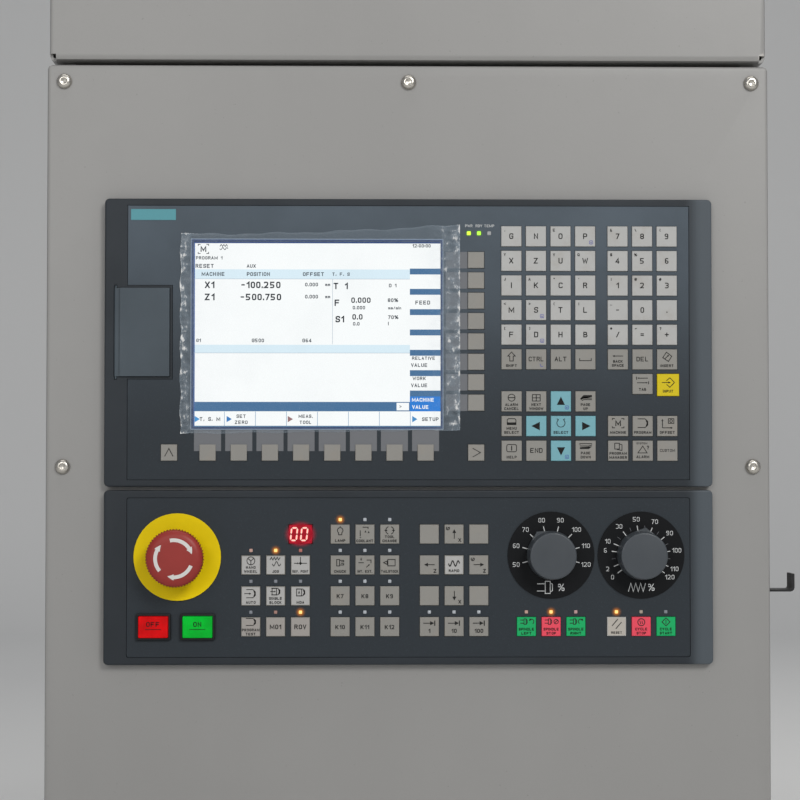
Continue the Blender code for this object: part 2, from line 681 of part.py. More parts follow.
def build_top_hood():
    """Folded box above the gap: open underneath between its four inward lips."""
    bottom = COVER_HEIGHT + HOOD_GAP
    shape = bmesh.new()
    add_block(shape, span(0.0, COVER_WIDTH - 2 * HOOD_INSET),
              (FACE_Y + HOOD_SETBACK, BACK_Y - HOOD_INSET), (bottom, bottom + HOOD_HEIGHT))
    bends = list(shape.edges)
    under = face_at(shape, 2, bottom)
    bmesh.ops.inset_individual(shape, faces=[under], thickness=HOOD_LIP, use_even_offset=True)
    bmesh.ops.delete(shape, geom=[under], context="FACES_ONLY")
    hood = folded_box("top_hood", shape, bends, GREY_PAINT)
    notch_x = COVER_WIDTH / 2 - HOOD_INSET
    notches = [(span(side * notch_x, 2 * HOOD_NOTCH), span(y, 2 * HOOD_NOTCH), span(bottom, 2 * HOOD_NOTCH))
               for side in (-1, 1) for y in (FACE_Y + HOOD_SETBACK, BACK_Y - HOOD_INSET)]
    return cut(hood, blocks("hood_notches", notches))


def build_handwheel_hook():
    """Strip folded into a foot on the side wall, an arm outwards and an upturned end."""
    wall = COVER_WIDTH / 2 + CLEARANCE
    front = FACE_Y + HOOK_SETBACK
    corners = [(wall, HOOK_HEIGHT - HOOK_FOOT), (wall, HOOK_HEIGHT + HOOK_THICKNESS),
               (wall + HOOK_REACH - HOOK_THICKNESS, HOOK_HEIGHT + HOOK_THICKNESS),
               (wall + HOOK_REACH - HOOK_THICKNESS, HOOK_HEIGHT + HOOK_RISE)]
    shape = bmesh.new()
    chain = [shape.verts.new((x, front, z)) for x, z in corners]
    edges = [shape.edges.new(pair) for pair in zip(chain, chain[1:])]
    swept = bmesh.ops.extrude_edge_only(shape, edges=edges)["geom"]
    moved = [item for item in swept if isinstance(item, bmesh.types.BMVert)]
    bmesh.ops.translate(shape, verts=moved, vec=(0.0, HOOK_DEPTH, 0.0))
    folds = [edge for edge in shape.edges if len(edge.link_faces) == 2]
    round_edges(shape, folds, HOOK_BEND - HOOK_THICKNESS, 3)
    mesh = bpy.data.meshes.new("handwheel_hook")
    bmesh.ops.recalc_face_normals(shape, faces=shape.faces)
    shape.to_mesh(mesh)
    shape.free()
    hook = add_object("handwheel_hook", mesh, BLACK_STEEL)
    strip = hook.modifiers.new("Strip", "SOLIDIFY")
    strip.thickness = HOOK_THICKNESS
    strip.offset = 1.0 if mesh.polygons[0].normal.x > 0 else -1.0
    strip.use_even_offset = True
    return hook


# Frames, plates, boards and rear covers shared by both units.

def unit_frame(name, centre_z, field_height, rim, bay=None):
    """Front frame of a unit: a ring with a ledge for the plate and a collar through the cover.

    A bay is (right edge, bottom, top) of a block that stays in the field's left side.
    """
    window_width = FIELD_WIDTH - 2 * LEDGE
    window_height = field_height - 2 * LEDGE
    collar = 2 * COLLAR_WALL
    frame = slab(name, span(0.0, UNIT_WIDTH), (FRAME_FRONT, FRAME_BACK),
                 span(centre_z, field_height + 2 * rim), SLATE_FRAME, FRAME_CORNER, FRAME_EDGE)
    join(frame, slab(name + "_collar", span(0.0, window_width + collar), (LEDGE_FRONT, COLLAR_BACK),
                     span(centre_z, window_height + collar), None, FIELD_CORNER))
    field = rectangle(span(0.0, FIELD_WIDTH), span(centre_z, field_height), FIELD_CORNER)
    window = rectangle(span(0.0, window_width), span(centre_z, window_height))
    if bay is not None:
        right, bottom, top = bay
        field = notched(span(0.0, FIELD_WIDTH), span(centre_z, field_height), right, (bottom, top))
        window = notched(span(0.0, window_width), span(centre_z, window_height), right, (bottom, top))
    cut(frame, plate(name + "_field", field, [], (FRAME_FRONT - WELD, LEDGE_FRONT), None))
    cut(frame, plate(name + "_window", window, [], (FRAME_FRONT - 2 * WELD, COLLAR_BACK + WELD), None))
    return frame


def unit_tub(name, centre_z, field_height, depth):
    """Rear cover of a unit: a tray that fits inside the frame's collar, open towards the board."""
    width = FIELD_WIDTH - 2 * LEDGE - 2 * CLEARANCE
    height = field_height - 2 * LEDGE - 2 * CLEARANCE
    shape = bmesh.new()
    add_block(shape, span(0.0, width), (TUB_FRONT, TUB_FRONT + depth), span(centre_z, height))
    bends = [edge for edge in shape.edges if not lies_at(edge, 1, TUB_FRONT)]
    bmesh.ops.delete(shape, geom=[face_at(shape, 1, TUB_FRONT)], context="FACES_ONLY")
    round_edges(shape, bends, TUB_EDGE, 2)
    tub = finish_bmesh(shape, name, ZINC_SHEET)
    return add_solidify(tub, TUB_WALL)


def key_grid(x, z, columns, rows, x_step, z_step):
    """Centres of a grid of keys, from its top left key, row by row."""
    return [(x + column * x_step, z - row * z_step) for row in range(rows) for column in range(columns)]


def aperture(x, z, key):
    """Hole in a plate for a key of one size."""
    side = key + 2 * CLEARANCE
    return rectangle(span(x, side), span(z, side))


def key_mat(name, outline, keys, size, material):
    """Moulded mat: a web behind the plate with its keys standing through the apertures."""
    mat = plate(name, outline, [], (LEDGE_FRONT, MAT_BACK), material)
    caps = [(span(x, size), (KEY_FRONT, LEDGE_FRONT + WELD), span(z, size)) for x, z in keys]
    return join(mat, blocks(name + "_caps", caps, None, KEY_CHAMFER))


def single_key(name, x, z, size, material):
    """Key of its own that slides in its aperture, held by a flange behind the plate."""
    flange = size + 2 * CLEARANCE + 2 * KEY_LIP
    key = blocks(name, [(span(x, flange), (LEDGE_FRONT, FLANGE_BACK), span(z, flange))], material)
    cap = [(span(x, size), (KEY_FRONT, LEDGE_FRONT + WELD), span(z, size))]
    return join(key, blocks(name + "_cap", cap, None, KEY_CHAMFER))


def flange_hole(x, z, size):
    """Box that clears a single key's flange in the mat round it."""
    side = size + 4 * CLEARANCE + 2 * KEY_LIP
    return span(x, side), (LEDGE_FRONT - WELD, MAT_BACK + WELD), span(z, side)


def lamp_windows(places, size):
    """Small square windows of the lamps."""
    return [rectangle(span(x, size), span(z, size)) for x, z in places]


# Display and keyboard unit.

def letter_keys():
    letters = key_grid(LETTER_X, LETTER_Z, LETTER_COLUMNS, LETTER_ROWS, KEY_PITCH, KEY_PITCH)
    return letters + key_grid(DIGIT_X, LETTER_Z, DIGIT_COLUMNS, LETTER_ROWS, KEY_PITCH, KEY_PITCH)


def own_keys():
    """Keys of the display unit that move on their own: name to (x, z, size, material).

    The input key is larger, and lines up with its neighbours at its top left corner.
    """
    middle_x = LETTER_X + 2 * KEY_PITCH
    middle_z = NAVIGATION_Z - KEY_PITCH
    growth = (INPUT_KEY - DISPLAY_KEY) / 2
    input_x = DIGIT_X + (DIGIT_COLUMNS - 1) * KEY_PITCH + growth
    return {
        "key_up": (middle_x, NAVIGATION_Z, DISPLAY_KEY, KEY_CYAN),
        "key_left": (middle_x - KEY_PITCH, middle_z, DISPLAY_KEY, KEY_CYAN),
        "key_select": (middle_x, middle_z, DISPLAY_KEY, KEY_CYAN),
        "key_right": (middle_x + KEY_PITCH, middle_z, DISPLAY_KEY, KEY_CYAN),
        "key_down": (middle_x, middle_z - KEY_PITCH, DISPLAY_KEY, KEY_CYAN),
        "key_input": (input_x, EDIT_Z - KEY_PITCH - growth, INPUT_KEY, KEY_YELLOW),
    }


def edit_keys():
    """Grey keys: the edit row, the tab key, and the navigation and menu keys."""
    row = key_grid(LETTER_X, EDIT_Z, LETTER_COLUMNS, 1, KEY_PITCH, KEY_PITCH)
    row += key_grid(DIGIT_X, EDIT_Z, DIGIT_COLUMNS, 1, KEY_PITCH, KEY_PITCH)
    tab = [(DIGIT_X + KEY_PITCH, EDIT_Z - KEY_PITCH)]
    moving = [(x, z) for x, z, _, _ in own_keys().values()]
    navigation = [place for place in key_grid(LETTER_X, NAVIGATION_Z, LETTER_COLUMNS, NAVIGATION_ROWS,
                                              KEY_PITCH, KEY_PITCH)
                  if all(math.dist(place, other) > KEY_PITCH / 2 for other in moving)]
    menu = key_grid(DIGIT_X, NAVIGATION_Z - KEY_PITCH, DIGIT_COLUMNS, NAVIGATION_ROWS - 1,
                    KEY_PITCH, KEY_PITCH)
    return row + tab + navigation + menu


def side_soft_keys():
    top = DISPLAY_FIELD_TOP - SIDE_KEYS_BELOW_TOP
    return key_grid(SIDE_KEY_X, top, 1, SIDE_KEY_COUNT, 0.0, SIDE_KEY_PITCH)


def bottom_soft_keys():
    """Row below the screen, with the recall key before it and the menu-forward key after it."""
    row = key_grid(FIELD_LEFT + BOTTOM_KEYS_MARGIN, SOFT_ROW_Z, BOTTOM_KEY_COUNT, 1,
                   BOTTOM_KEY_PITCH, 0.0)
    return [(FIELD_LEFT + RECALL_KEY_MARGIN, SOFT_ROW_Z), *row, (SIDE_KEY_X, SOFT_ROW_Z)]


def display_leds():
    """Three status lamps above the side keys."""
    z = DISPLAY_FIELD_TOP - DISPLAY_LED_BELOW_TOP
    return [(SIDE_KEY_X + step * DISPLAY_LED_PITCH, z) for step in (-0.7, 0.3, 1.3)]


def build_display_frame():
    """Frame of the display unit with the port bay, its flap's seat and the hinge slots."""
    frame = unit_frame("display_frame", DISPLAY_Z, DISPLAY_FIELD_HEIGHT, DISPLAY_RIM,
                       (BAY_RIGHT, BAY_BOTTOM, BAY_TOP))
    seat_floor = FLAP_FRONT + FLAP_THICKNESS + CLEARANCE
    seat = ((FLAP_X - CLEARANCE, FLAP_X + FLAP_WIDTH + CLEARANCE), (FRAME_FRONT - 2 * WELD, seat_floor),
            (FLAP_BOTTOM - CLEARANCE, FLAP_TOP + CLEARANCE))
    slot = FLAP_PIN_DIAMETER + 2 * CLEARANCE
    axis_x = FLAP_X + FLAP_THICKNESS / 2
    slots = (span(axis_x, slot), (FRAME_FRONT - 2 * WELD, FLAP_AXIS_Y + slot / 2),
             (FLAP_BOTTOM - 2 * CLEARANCE - FLAP_PIN_LENGTH, FLAP_TOP + 2 * CLEARANCE + FLAP_PIN_LENGTH))
    x_range, z_range = port_block_ranges(CLEARANCE)
    cavity = (x_range, (FRAME_FRONT - 2 * WELD, COLLAR_BACK - BAY_FLOOR), z_range)
    cut(frame, blocks("flap_seat", [seat]))
    cut(frame, blocks("flap_pin_slots", [slots]))
    cut(frame, blocks("port_cavity", [cavity]))
    return frame


def port_block_ranges(extra):
    """Width and height of the port block in its bay, grown by a clearance on each side."""
    left = FLAP_X + PORT_BLOCK_INSET
    middle = (FLAP_TOP + FLAP_BOTTOM) / 2
    return (left - extra, left + PORT_BLOCK_WIDTH + extra), span(middle, PORT_BLOCK_HEIGHT + 2 * extra)


def build_usb_ports():
    """Connector block in the bay: two serial-bus sockets and one network socket."""
    x_range, z_range = port_block_ranges(0.0)
    back = COLLAR_BACK - BAY_FLOOR - CLEARANCE
    front = back - PORT_BLOCK_DEPTH
    x = sum(x_range) / 2
    z = sum(z_range) / 2
    block = slab("usb_ports", x_range, (front, back), z_range, PORT_BLACK)
    depth = (front - WELD, front + PORT_DEPTH)
    sockets = [(span(x, USB_WIDTH), depth, span(z + PORT_PITCH, USB_HEIGHT)),
               (span(x, USB_WIDTH), depth, span(z, USB_HEIGHT)),
               (span(x, NETWORK_WIDTH), depth, span(z - PORT_PITCH, NETWORK_HEIGHT))]
    return cut(block, blocks("port_sockets", sockets))


def build_usb_flap():
    """Flap over the ports: a raised pad, a round hinge edge and a pin at each end of it."""
    flap_y = (FLAP_FRONT, FLAP_FRONT + FLAP_THICKNESS)
    axis_x = FLAP_X + FLAP_THICKNESS / 2
    flap = slab("usb_flap", (axis_x, FLAP_X + FLAP_WIDTH), flap_y, (FLAP_BOTTOM, FLAP_TOP), SLATE_FRAME)
    pad_y = (FLAP_FRONT - FLAP_PAD_HEIGHT, FLAP_FRONT + WELD)
    join(flap, slab("flap_pad", (FLAP_X + FLAP_PAD_START, FLAP_X + FLAP_WIDTH), pad_y,
                    (FLAP_BOTTOM, FLAP_TOP), None))
    middle = (FLAP_TOP + FLAP_BOTTOM) / 2
    for name, diameter, length in (("flap_barrel", FLAP_THICKNESS, FLAP_HEIGHT),
                                   ("flap_pin", FLAP_PIN_DIAMETER, FLAP_HEIGHT + 2 * FLAP_PIN_LENGTH)):
        shape = bmesh.new()
        bmesh.ops.create_cone(shape, cap_ends=True, segments=12, radius1=diameter / 2,
                              radius2=diameter / 2, depth=length,
                              matrix=Matrix.Translation((axis_x, FLAP_AXIS_Y, middle)))
        join(flap, finish_bmesh(shape, name, None))
    return flap


def build_display_faceplate():
    """Keyboard plate: key apertures, screen window and lamp windows."""
    inset = 2 * CLEARANCE
    outline = notched(span(0.0, FIELD_WIDTH - inset), span(DISPLAY_Z, DISPLAY_FIELD_HEIGHT - inset),
                      BAY_RIGHT + CLEARANCE, (BAY_BOTTOM - CLEARANCE, BAY_TOP + CLEARANCE))
    holes = [rectangle((SCREEN_LEFT, SCREEN_RIGHT), (SCREEN_BOTTOM, SCREEN_TOP))]
    holes += [aperture(x, z, DISPLAY_KEY) for x, z in letter_keys() + edit_keys()]
    holes += [aperture(x, z, size) for x, z, size, _ in own_keys().values()]
    holes += [aperture(x, z, SOFT_KEY) for x, z in side_soft_keys() + bottom_soft_keys()]
    holes += lamp_windows(display_leds(), DISPLAY_LED)
    return plate("display_faceplate", outline, holes, (PLATE_FRONT, PLATE_BACK), SLATE_PLATE)


def mat_outline(keys, size):
    """Rectangle round a block of keys, half a web land beyond them."""
    reach = size / 2 + MAT_MARGIN
    xs = [x for x, _ in keys]
    zs = [z for _, z in keys]
    return rectangle((min(xs) - reach, max(xs) + reach), (min(zs) - reach, max(zs) + reach))


def build_display_mats():
    letters = letter_keys()
    key_mat("keymat_letters", mat_outline(letters, DISPLAY_KEY), letters, DISPLAY_KEY, KEY_LIGHT)
    edit = edit_keys()
    edit_mat = key_mat("keymat_edit", mat_outline(edit, DISPLAY_KEY + 2 * KEY_LIP), edit,
                       DISPLAY_KEY, KEY_GREY)
    moving = [flange_hole(x, z, size) for x, z, size, _ in own_keys().values()]
    cut(edit_mat, blocks("single_key_holes", moving))
    side = side_soft_keys()
    bottom = bottom_soft_keys()
    reach = SOFT_KEY / 2 + MAT_MARGIN
    left = bottom[0][0] - reach
    right = SIDE_KEY_X + reach
    low = SOFT_ROW_Z - reach
    outline = [(left, low), (right, low), (right, side[0][1] + reach), (SIDE_KEY_X - reach, side[0][1] + reach),
               (SIDE_KEY_X - reach, SOFT_ROW_Z + reach), (left, SOFT_ROW_Z + reach)]
    key_mat("keymat_soft", outline, side + bottom, SOFT_KEY, KEY_GREY)
    for name, (x, z, size, material) in own_keys().items():
        single_key(name, x, z, size, material)


def build_screen():
    """Screen module behind its window and the loose protective film in front of the plate."""
    module = slab("screen_panel", (SCREEN_LEFT - SCREEN_BORDER, SCREEN_RIGHT + SCREEN_BORDER),
                  (LEDGE_FRONT, LEDGE_FRONT + SCREEN_MODULE_DEPTH),
                  (SCREEN_BOTTOM - SCREEN_BORDER, SCREEN_TOP + SCREEN_BORDER), SCREEN_GLASS)
    slab("screen_film", (SCREEN_LEFT - FILM_LEFT, SCREEN_RIGHT + FILM_RIGHT),
         (BEZEL_BACK - FILM_THICKNESS, BEZEL_BACK),
         (SCREEN_BOTTOM - FILM_BOTTOM, SCREEN_TOP + FILM_TOP), CLEAR_FILM)
    return module


def build_display_board():
    """Board behind the key mats, cut out round the screen module and the port bay."""
    inset = 2 * LEDGE + 2 * CLEARANCE
    outline = notched(span(0.0, FIELD_WIDTH - inset), span(DISPLAY_Z, DISPLAY_FIELD_HEIGHT - inset),
                      BAY_RIGHT + CLEARANCE, (BAY_BOTTOM - CLEARANCE, BAY_TOP + CLEARANCE))
    border = SCREEN_BORDER + CLEARANCE
    module = rectangle((SCREEN_LEFT - border, SCREEN_RIGHT + border),
                       (SCREEN_BOTTOM - border, SCREEN_TOP + border))
    return plate("display_board", outline, [module], (BOARD_FRONT, BOARD_BACK), BOARD_GREEN)


def build_display_rear_cover():
    """Tray behind the display unit, cut away round the port bay."""
    tub = unit_tub("display_rear_cover", DISPLAY_Z, DISPLAY_FIELD_HEIGHT, DISPLAY_TUB_DEPTH)
    bay = [((FIELD_LEFT, BAY_RIGHT + CLEARANCE), (TUB_FRONT - WELD, COLLAR_BACK + CLEARANCE),
            (BAY_BOTTOM - CLEARANCE, BAY_TOP + CLEARANCE))]
    return cut(tub, blocks("rear_cover_bay", bay))


def build_display_unit():
    build_display_frame()
    build_usb_ports()
    build_usb_flap()
    build_display_faceplate()
    build_display_mats()
    build_screen()
    build_display_board()
    build_display_rear_cover()


# Machine control panel.

def group_keys(centre_x, first_row=0):
    """Keys of a three-column group, from one of its rows down to the last."""
    left = centre_x - (GROUP_COLUMNS - 1) * KEY_PITCH / 2
    top = MACHINE_ROW_Z - first_row * MACHINE_ROW_PITCH
    return key_grid(left, top, GROUP_COLUMNS, MACHINE_ROWS - first_row, KEY_PITCH, MACHINE_ROW_PITCH)


def mat_groups():
    """Key groups that are moulded as mats: name to the places of their keys."""
    return {
        "keymat_modes": group_keys(MODES_X, 1),
        "keymat_functions": group_keys(FUNCTIONS_X),
        "keymat_axes": group_keys(AXES_X),
    }


def drive_keys():
    """Keys under the two dials, which move on their own: name to (x, z, material)."""
    spindle = group_keys(SPINDLE_X, MACHINE_ROWS - 1)
    feed = group_keys(FEED_X, MACHINE_ROWS - 1)
    names = ["spindle_left_key", "spindle_stop_key", "spindle_right_key",
             "feed_reset_key", "feed_stop_key", "feed_start_key"]
    materials = [KEY_GREEN, KEY_RED, KEY_GREEN, KEY_LIGHT, KEY_RED, KEY_GREEN]
    return {name: (x, z, material) for name, (x, z), material in zip(names, spindle + feed, materials)}


def machine_leds():
    """Lamps above the mode, function, step and drive keys."""
    lit_axes = group_keys(AXES_X, MACHINE_ROWS - 1)
    keys = group_keys(MODES_X, 1) + group_keys(FUNCTIONS_X) + lit_axes
    keys += [(x, z) for x, z, _ in drive_keys().values()]
    return [(x, z + LED_ABOVE_KEY) for x, z in keys]


def digits_place():
    """Centre of the two-digit display: above the last column of the mode keys."""
    return MODES_X + KEY_PITCH, MACHINE_ROW_Z


def button_hole(x):
    """Hole in the plate for a push button's body."""
    return rectangle(span(x, BUTTON_LENS_WIDTH + 2 * BUTTON_WALL + 4 * CLEARANCE),
                     span(BUTTON_Z, BUTTON_LENS_HEIGHT + 2 * BUTTON_WALL + 4 * CLEARANCE))


def build_machine_faceplate():
    """Plate of the machine panel with the openings of all its keys and controls."""
    inset = 2 * CLEARANCE
    outline = rectangle(span(0.0, FIELD_WIDTH - inset), span(MACHINE_Z, MACHINE_FIELD_HEIGHT - inset),
                        FIELD_CORNER)
    keys = [place for group in mat_groups().values() for place in group]
    keys += [(x, z) for x, z, _ in drive_keys().values()]
    holes = [aperture(x, z, MACHINE_KEY) for x, z in keys]
    digits_x, digits_z = digits_place()
    holes.append(rectangle(span(digits_x, DIGITS_WINDOW_WIDTH), span(digits_z, DIGITS_WINDOW_HEIGHT)))
    holes.append(circle(ESTOP_X, ESTOP_Z, ESTOP_BUSH_DIAMETER + 2 * CLEARANCE))
    holes += [circle(x, DIAL_Z, BUSH_DIAMETER + 2 * CLEARANCE) for x in (SPINDLE_X, FEED_X)]
    holes += [button_hole(x) for x in (RED_BUTTON_X, GREEN_BUTTON_X)]
    holes += lamp_windows(machine_leds(), MACHINE_LED)
    return plate("machine_faceplate", outline, holes, (PLATE_FRONT, PLATE_BACK), SLATE_PLATE)


def build_machine_mats():
    for name, keys in mat_groups().items():
        key_mat(name, mat_outline(keys, MACHINE_KEY), keys, MACHINE_KEY, KEY_GREY)
    for name, (x, z, material) in drive_keys().items():
        single_key(name, x, z, MACHINE_KEY, material)


def build_machine_board():
    """Board behind the keys, right of the emergency stop, with holes for the switch bushes."""
    inset = 2 * LEDGE + 2 * CLEARANCE
    left = MODES_X - GROUP_WIDTH / 2 - GROUP_GAP / 2
    right = FIELD_RIGHT - inset / 2
    outline = rectangle((left, right), span(MACHINE_Z, MACHINE_FIELD_HEIGHT - inset))
    holes = [circle(x, DIAL_Z, BUSH_DIAMETER + 2 * CLEARANCE) for x in (SPINDLE_X, FEED_X)]
    return plate("machine_board", outline, holes, (BOARD_FRONT, BOARD_BACK), BOARD_GREEN)


def build_tool_display():
    """Two-digit module that stands on the board and shows in its window."""
    x, z = digits_place()
    inset = 2 * CLEARANCE
    return slab("tool_display", span(x, DIGITS_WINDOW_WIDTH - inset),
                (PLATE_FRONT + DIGITS_SINK, BOARD_FRONT - CLEARANCE),
                span(z, DIGITS_WINDOW_HEIGHT - inset), SEGMENT_RED)


def build_dial(prefix, x, pointer_deg):
    """Scale disc, rotary switch, shaft and pointer knob of an override dial."""
    disc(prefix + "_scale", DIAL_DIAMETER, (BEZEL_BACK - DIAL_THICKNESS, BEZEL_BACK), 48, DIAL_BLACK,
         x, DIAL_Z, BUSH_DIAMETER + 2 * CLEARANCE)
    switch_front = BOARD_BACK + CLEARANCE
    switch_back = switch_front + SWITCH_DEPTH
    bush_front = BEZEL_BACK - DIAL_THICKNESS
    switch = slab(prefix + "_switch", span(x, SWITCH_SIZE), (switch_front, switch_back),
                  span(DIAL_Z, SWITCH_SIZE), PORT_BLACK)
    join(switch, disc(prefix + "_bush", BUSH_DIAMETER, (bush_front, switch_front + WELD), 20, None, x, DIAL_Z))
    cut(switch, disc(prefix + "_bush_bore", SHAFT_DIAMETER + 2 * CLEARANCE,
                     (bush_front - WELD, switch_back - SWITCH_FLOOR), 20, None, x, DIAL_Z))
    knob_back = bush_front - CLEARANCE
    knob_front = knob_back - KNOB_HEIGHT
    bore_end = knob_back - KNOB_BORE_DEPTH
    disc(prefix + "_shaft", SHAFT_DIAMETER, (bore_end + CLEARANCE, switch_back - SWITCH_FLOOR - CLEARANCE),
         20, STAINLESS, x, DIAL_Z)
    build_knob(prefix + "_knob", x, knob_back, knob_front, bore_end, pointer_deg)


def build_knob(name, x, back, front, bore_end, pointer_deg):
    """Turned knob with a slight taper and a pointed nose at its foot."""
    foot = KNOB_DIAMETER / 2
    top = foot - KNOB_TAPER
    profile = [(0.0, back), (foot, back), (top, front + KNOB_EDGE), (top - 0.3 * KNOB_EDGE, front + 0.3 * KNOB_EDGE),
               (top - KNOB_EDGE, front), (0.0, front)]
    knob = turned(name, profile, 40, KNOB_GREY, x, DIAL_Z)
    tip = foot + KNOB_NOSE
    half = KNOB_NOSE_WIDTH / 2
    nose_outline = [(-half, 0.0), (half, 0.0), (half, 0.8 * foot), (0.0, tip), (-half, 0.8 * foot)]
    turn = math.radians(-pointer_deg)
    outline = [(x + across * math.cos(turn) - along * math.sin(turn),
                DIAL_Z + across * math.sin(turn) + along * math.cos(turn)) for across, along in nose_outline]
    join(knob, plate(name + "_nose", outline, [], (back - KNOB_NOSE_HEIGHT, back - WELD / 2), None))
    cut(knob, disc(name + "_bore", SHAFT_DIAMETER + 2 * CLEARANCE, (bore_end, back + WELD), 20, None, x, DIAL_Z))
    return smooth(knob)


def build_estop():
    """Emergency stop: yellow disc, fixed body, sliding stem and knurled mushroom head."""
    ring_front = BEZEL_BACK - ESTOP_RING_THICKNESS
    disc("estop_ring", ESTOP_RING_DIAMETER, (ring_front, BEZEL_BACK), 48, STOP_YELLOW, ESTOP_X, ESTOP_Z,
         ESTOP_BUSH_DIAMETER + 2 * CLEARANCE)
    collar_back = ring_front - CLEARANCE
    collar_front = collar_back - ESTOP_COLLAR_HEIGHT
    block_front = PLATE_BACK + ESTOP_BLOCK_BEHIND
    block_back = block_front + ESTOP_BLOCK_DEPTH
    bore = ESTOP_STEM_DIAMETER / 2 + CLEARANCE
    bore_end = block_back - ESTOP_FLOOR
    body = slab("estop_body", span(ESTOP_X, ESTOP_BLOCK_SIZE), (block_front, block_back),
                span(ESTOP_Z, ESTOP_BLOCK_SIZE), PORT_BLACK)
    bush = ESTOP_BUSH_DIAMETER / 2
    collar = ESTOP_COLLAR_DIAMETER / 2
    bush_profile = [(0.0, block_front + WELD), (bush, block_front + WELD), (bush, collar_back),
                    (collar, collar_back), (collar, collar_front), (0.0, collar_front)]
    join(body, turned("estop_bush", bush_profile, 28, None, ESTOP_X, ESTOP_Z))
    cut(body, disc("estop_bore", 2 * bore, (collar_front - WELD, bore_end), 28, None, ESTOP_X, ESTOP_Z))
    head_back = collar_front - ESTOP_TRAVEL - 2 * CLEARANCE
    head_front = head_back - ESTOP_HEAD_HEIGHT
    socket_end = head_back - ESTOP_HEAD_HEIGHT / 2
    disc("estop_plunger", ESTOP_STEM_DIAMETER,
         (socket_end + CLEARANCE, bore_end - ESTOP_TRAVEL - CLEARANCE), 28, PORT_BLACK, ESTOP_X, ESTOP_Z)
    build_estop_head(head_back, head_front, socket_end, bore)


def build_estop_head(back, front, socket_end, socket_radius):
    """Mushroom head: hollow towards its neck, domed in front and knurled round its skirt."""
    rim = ESTOP_HEAD_DIAMETER / 2
    skirt_front = front + 0.22 * ESTOP_HEAD_HEIGHT
    skirt_back = skirt_front + ESTOP_SKIRT_HEIGHT
    neck = 0.55 * rim
    profile = [(0.0, socket_end), (socket_radius, socket_end), (socket_radius, back), (neck, back),
               (neck, skirt_back + 0.1 * rim), (0.9 * rim, skirt_back), (rim, skirt_back - 0.05 * rim),
               (rim, skirt_front), (0.93 * rim, front + 0.09 * ESTOP_HEAD_HEIGHT),
               (0.80 * rim, front + 0.02 * ESTOP_HEAD_HEIGHT), (0.6 * rim, front), (0.0, front)]
    head = turned("estop_head", profile, 2 * ESTOP_TEETH, STOP_RED, ESTOP_X, ESTOP_Z)
    for vertex in head.data.vertices:
        x = vertex.co.x - ESTOP_X
        z = vertex.co.z - ESTOP_Z
        tooth = round(math.atan2(z, x) / (math.pi / ESTOP_TEETH))
        if math.hypot(x, z) > 0.99 * rim and tooth % 2:
            shrink = 1 - ESTOP_TOOTH_DEPTH / rim
            vertex.co.x = ESTOP_X + x * shrink
            vertex.co.z = ESTOP_Z + z * shrink
    return smooth(head, 40.0)


def build_push_button(prefix, x, lens_material):
    """Illuminated push button: bezel and body in one, and the lens cap that slides in it."""
    bezel_front = BEZEL_BACK - BUTTON_BEZEL_HEIGHT
    body_back = PLATE_BACK + BUTTON_BODY_DEPTH
    width = BUTTON_LENS_WIDTH + 2 * CLEARANCE
    height = BUTTON_LENS_HEIGHT + 2 * CLEARANCE
    body = slab(prefix + "_body", span(x, width + 2 * BUTTON_BEZEL), (bezel_front, BEZEL_BACK),
                span(BUTTON_Z, height + 2 * BUTTON_BEZEL), PORT_BLACK, 0.001, 0.0005, 2)
    join(body, slab(prefix + "_case", span(x, width + 2 * BUTTON_WALL), (BEZEL_BACK - WELD, body_back),
                    span(BUTTON_Z, height + 2 * BUTTON_WALL), None))
    cut(body, slab(prefix + "_well", span(x, width), (bezel_front - WELD, body_back - BUTTON_FLOOR),
                   span(BUTTON_Z, height), None))
    cap_front = bezel_front - BUTTON_PROUD
    return slab(prefix + "_cap", span(x, BUTTON_LENS_WIDTH), (cap_front, cap_front + BUTTON_CAP_DEPTH),
                span(BUTTON_Z, BUTTON_LENS_HEIGHT), lens_material, 0.0006, 0.0006, 2)


def build_machine_unit():
    unit_frame("machine_frame", MACHINE_Z, MACHINE_FIELD_HEIGHT, MACHINE_RIM)
    build_machine_faceplate()
    build_machine_mats()
    build_machine_board()
    build_tool_display()
    build_dial("spindle", SPINDLE_X, SPINDLE_POINTER_DEG)
    build_dial("feed", FEED_X, FEED_POINTER_DEG)
    build_estop()
    build_push_button("red_button", RED_BUTTON_X, LENS_RED)
    build_push_button("green_button", GREEN_BUTTON_X, LENS_GREEN)
    unit_tub("machine_rear_cover", MACHINE_Z, MACHINE_FIELD_HEIGHT, MACHINE_TUB_DEPTH)


def build_enclosure():
    build_housing_shell()
    build_front_cover()
    build_cover_screws()
    build_top_hood()
    build_handwheel_hook()


build_enclosure()
build_display_unit()
build_machine_unit()
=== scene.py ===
"""Finishes, legends and fine pieces of the operator control station of a CNC lathe.

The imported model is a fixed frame. Each piece made here rides on one of its bodies and takes its
place from the boxes of its nodes. Lengths are in metres, Z is up and the front looks towards -Y.
Marks on keys are in millimetres from the middle of their key, and angles on round pieces are
degrees clockwise from the top, as the operator sees them.
"""

from __future__ import annotations

import json
import logging
import math
from collections.abc import Callable, Sequence
from dataclasses import dataclass, field, replace
from enum import Enum

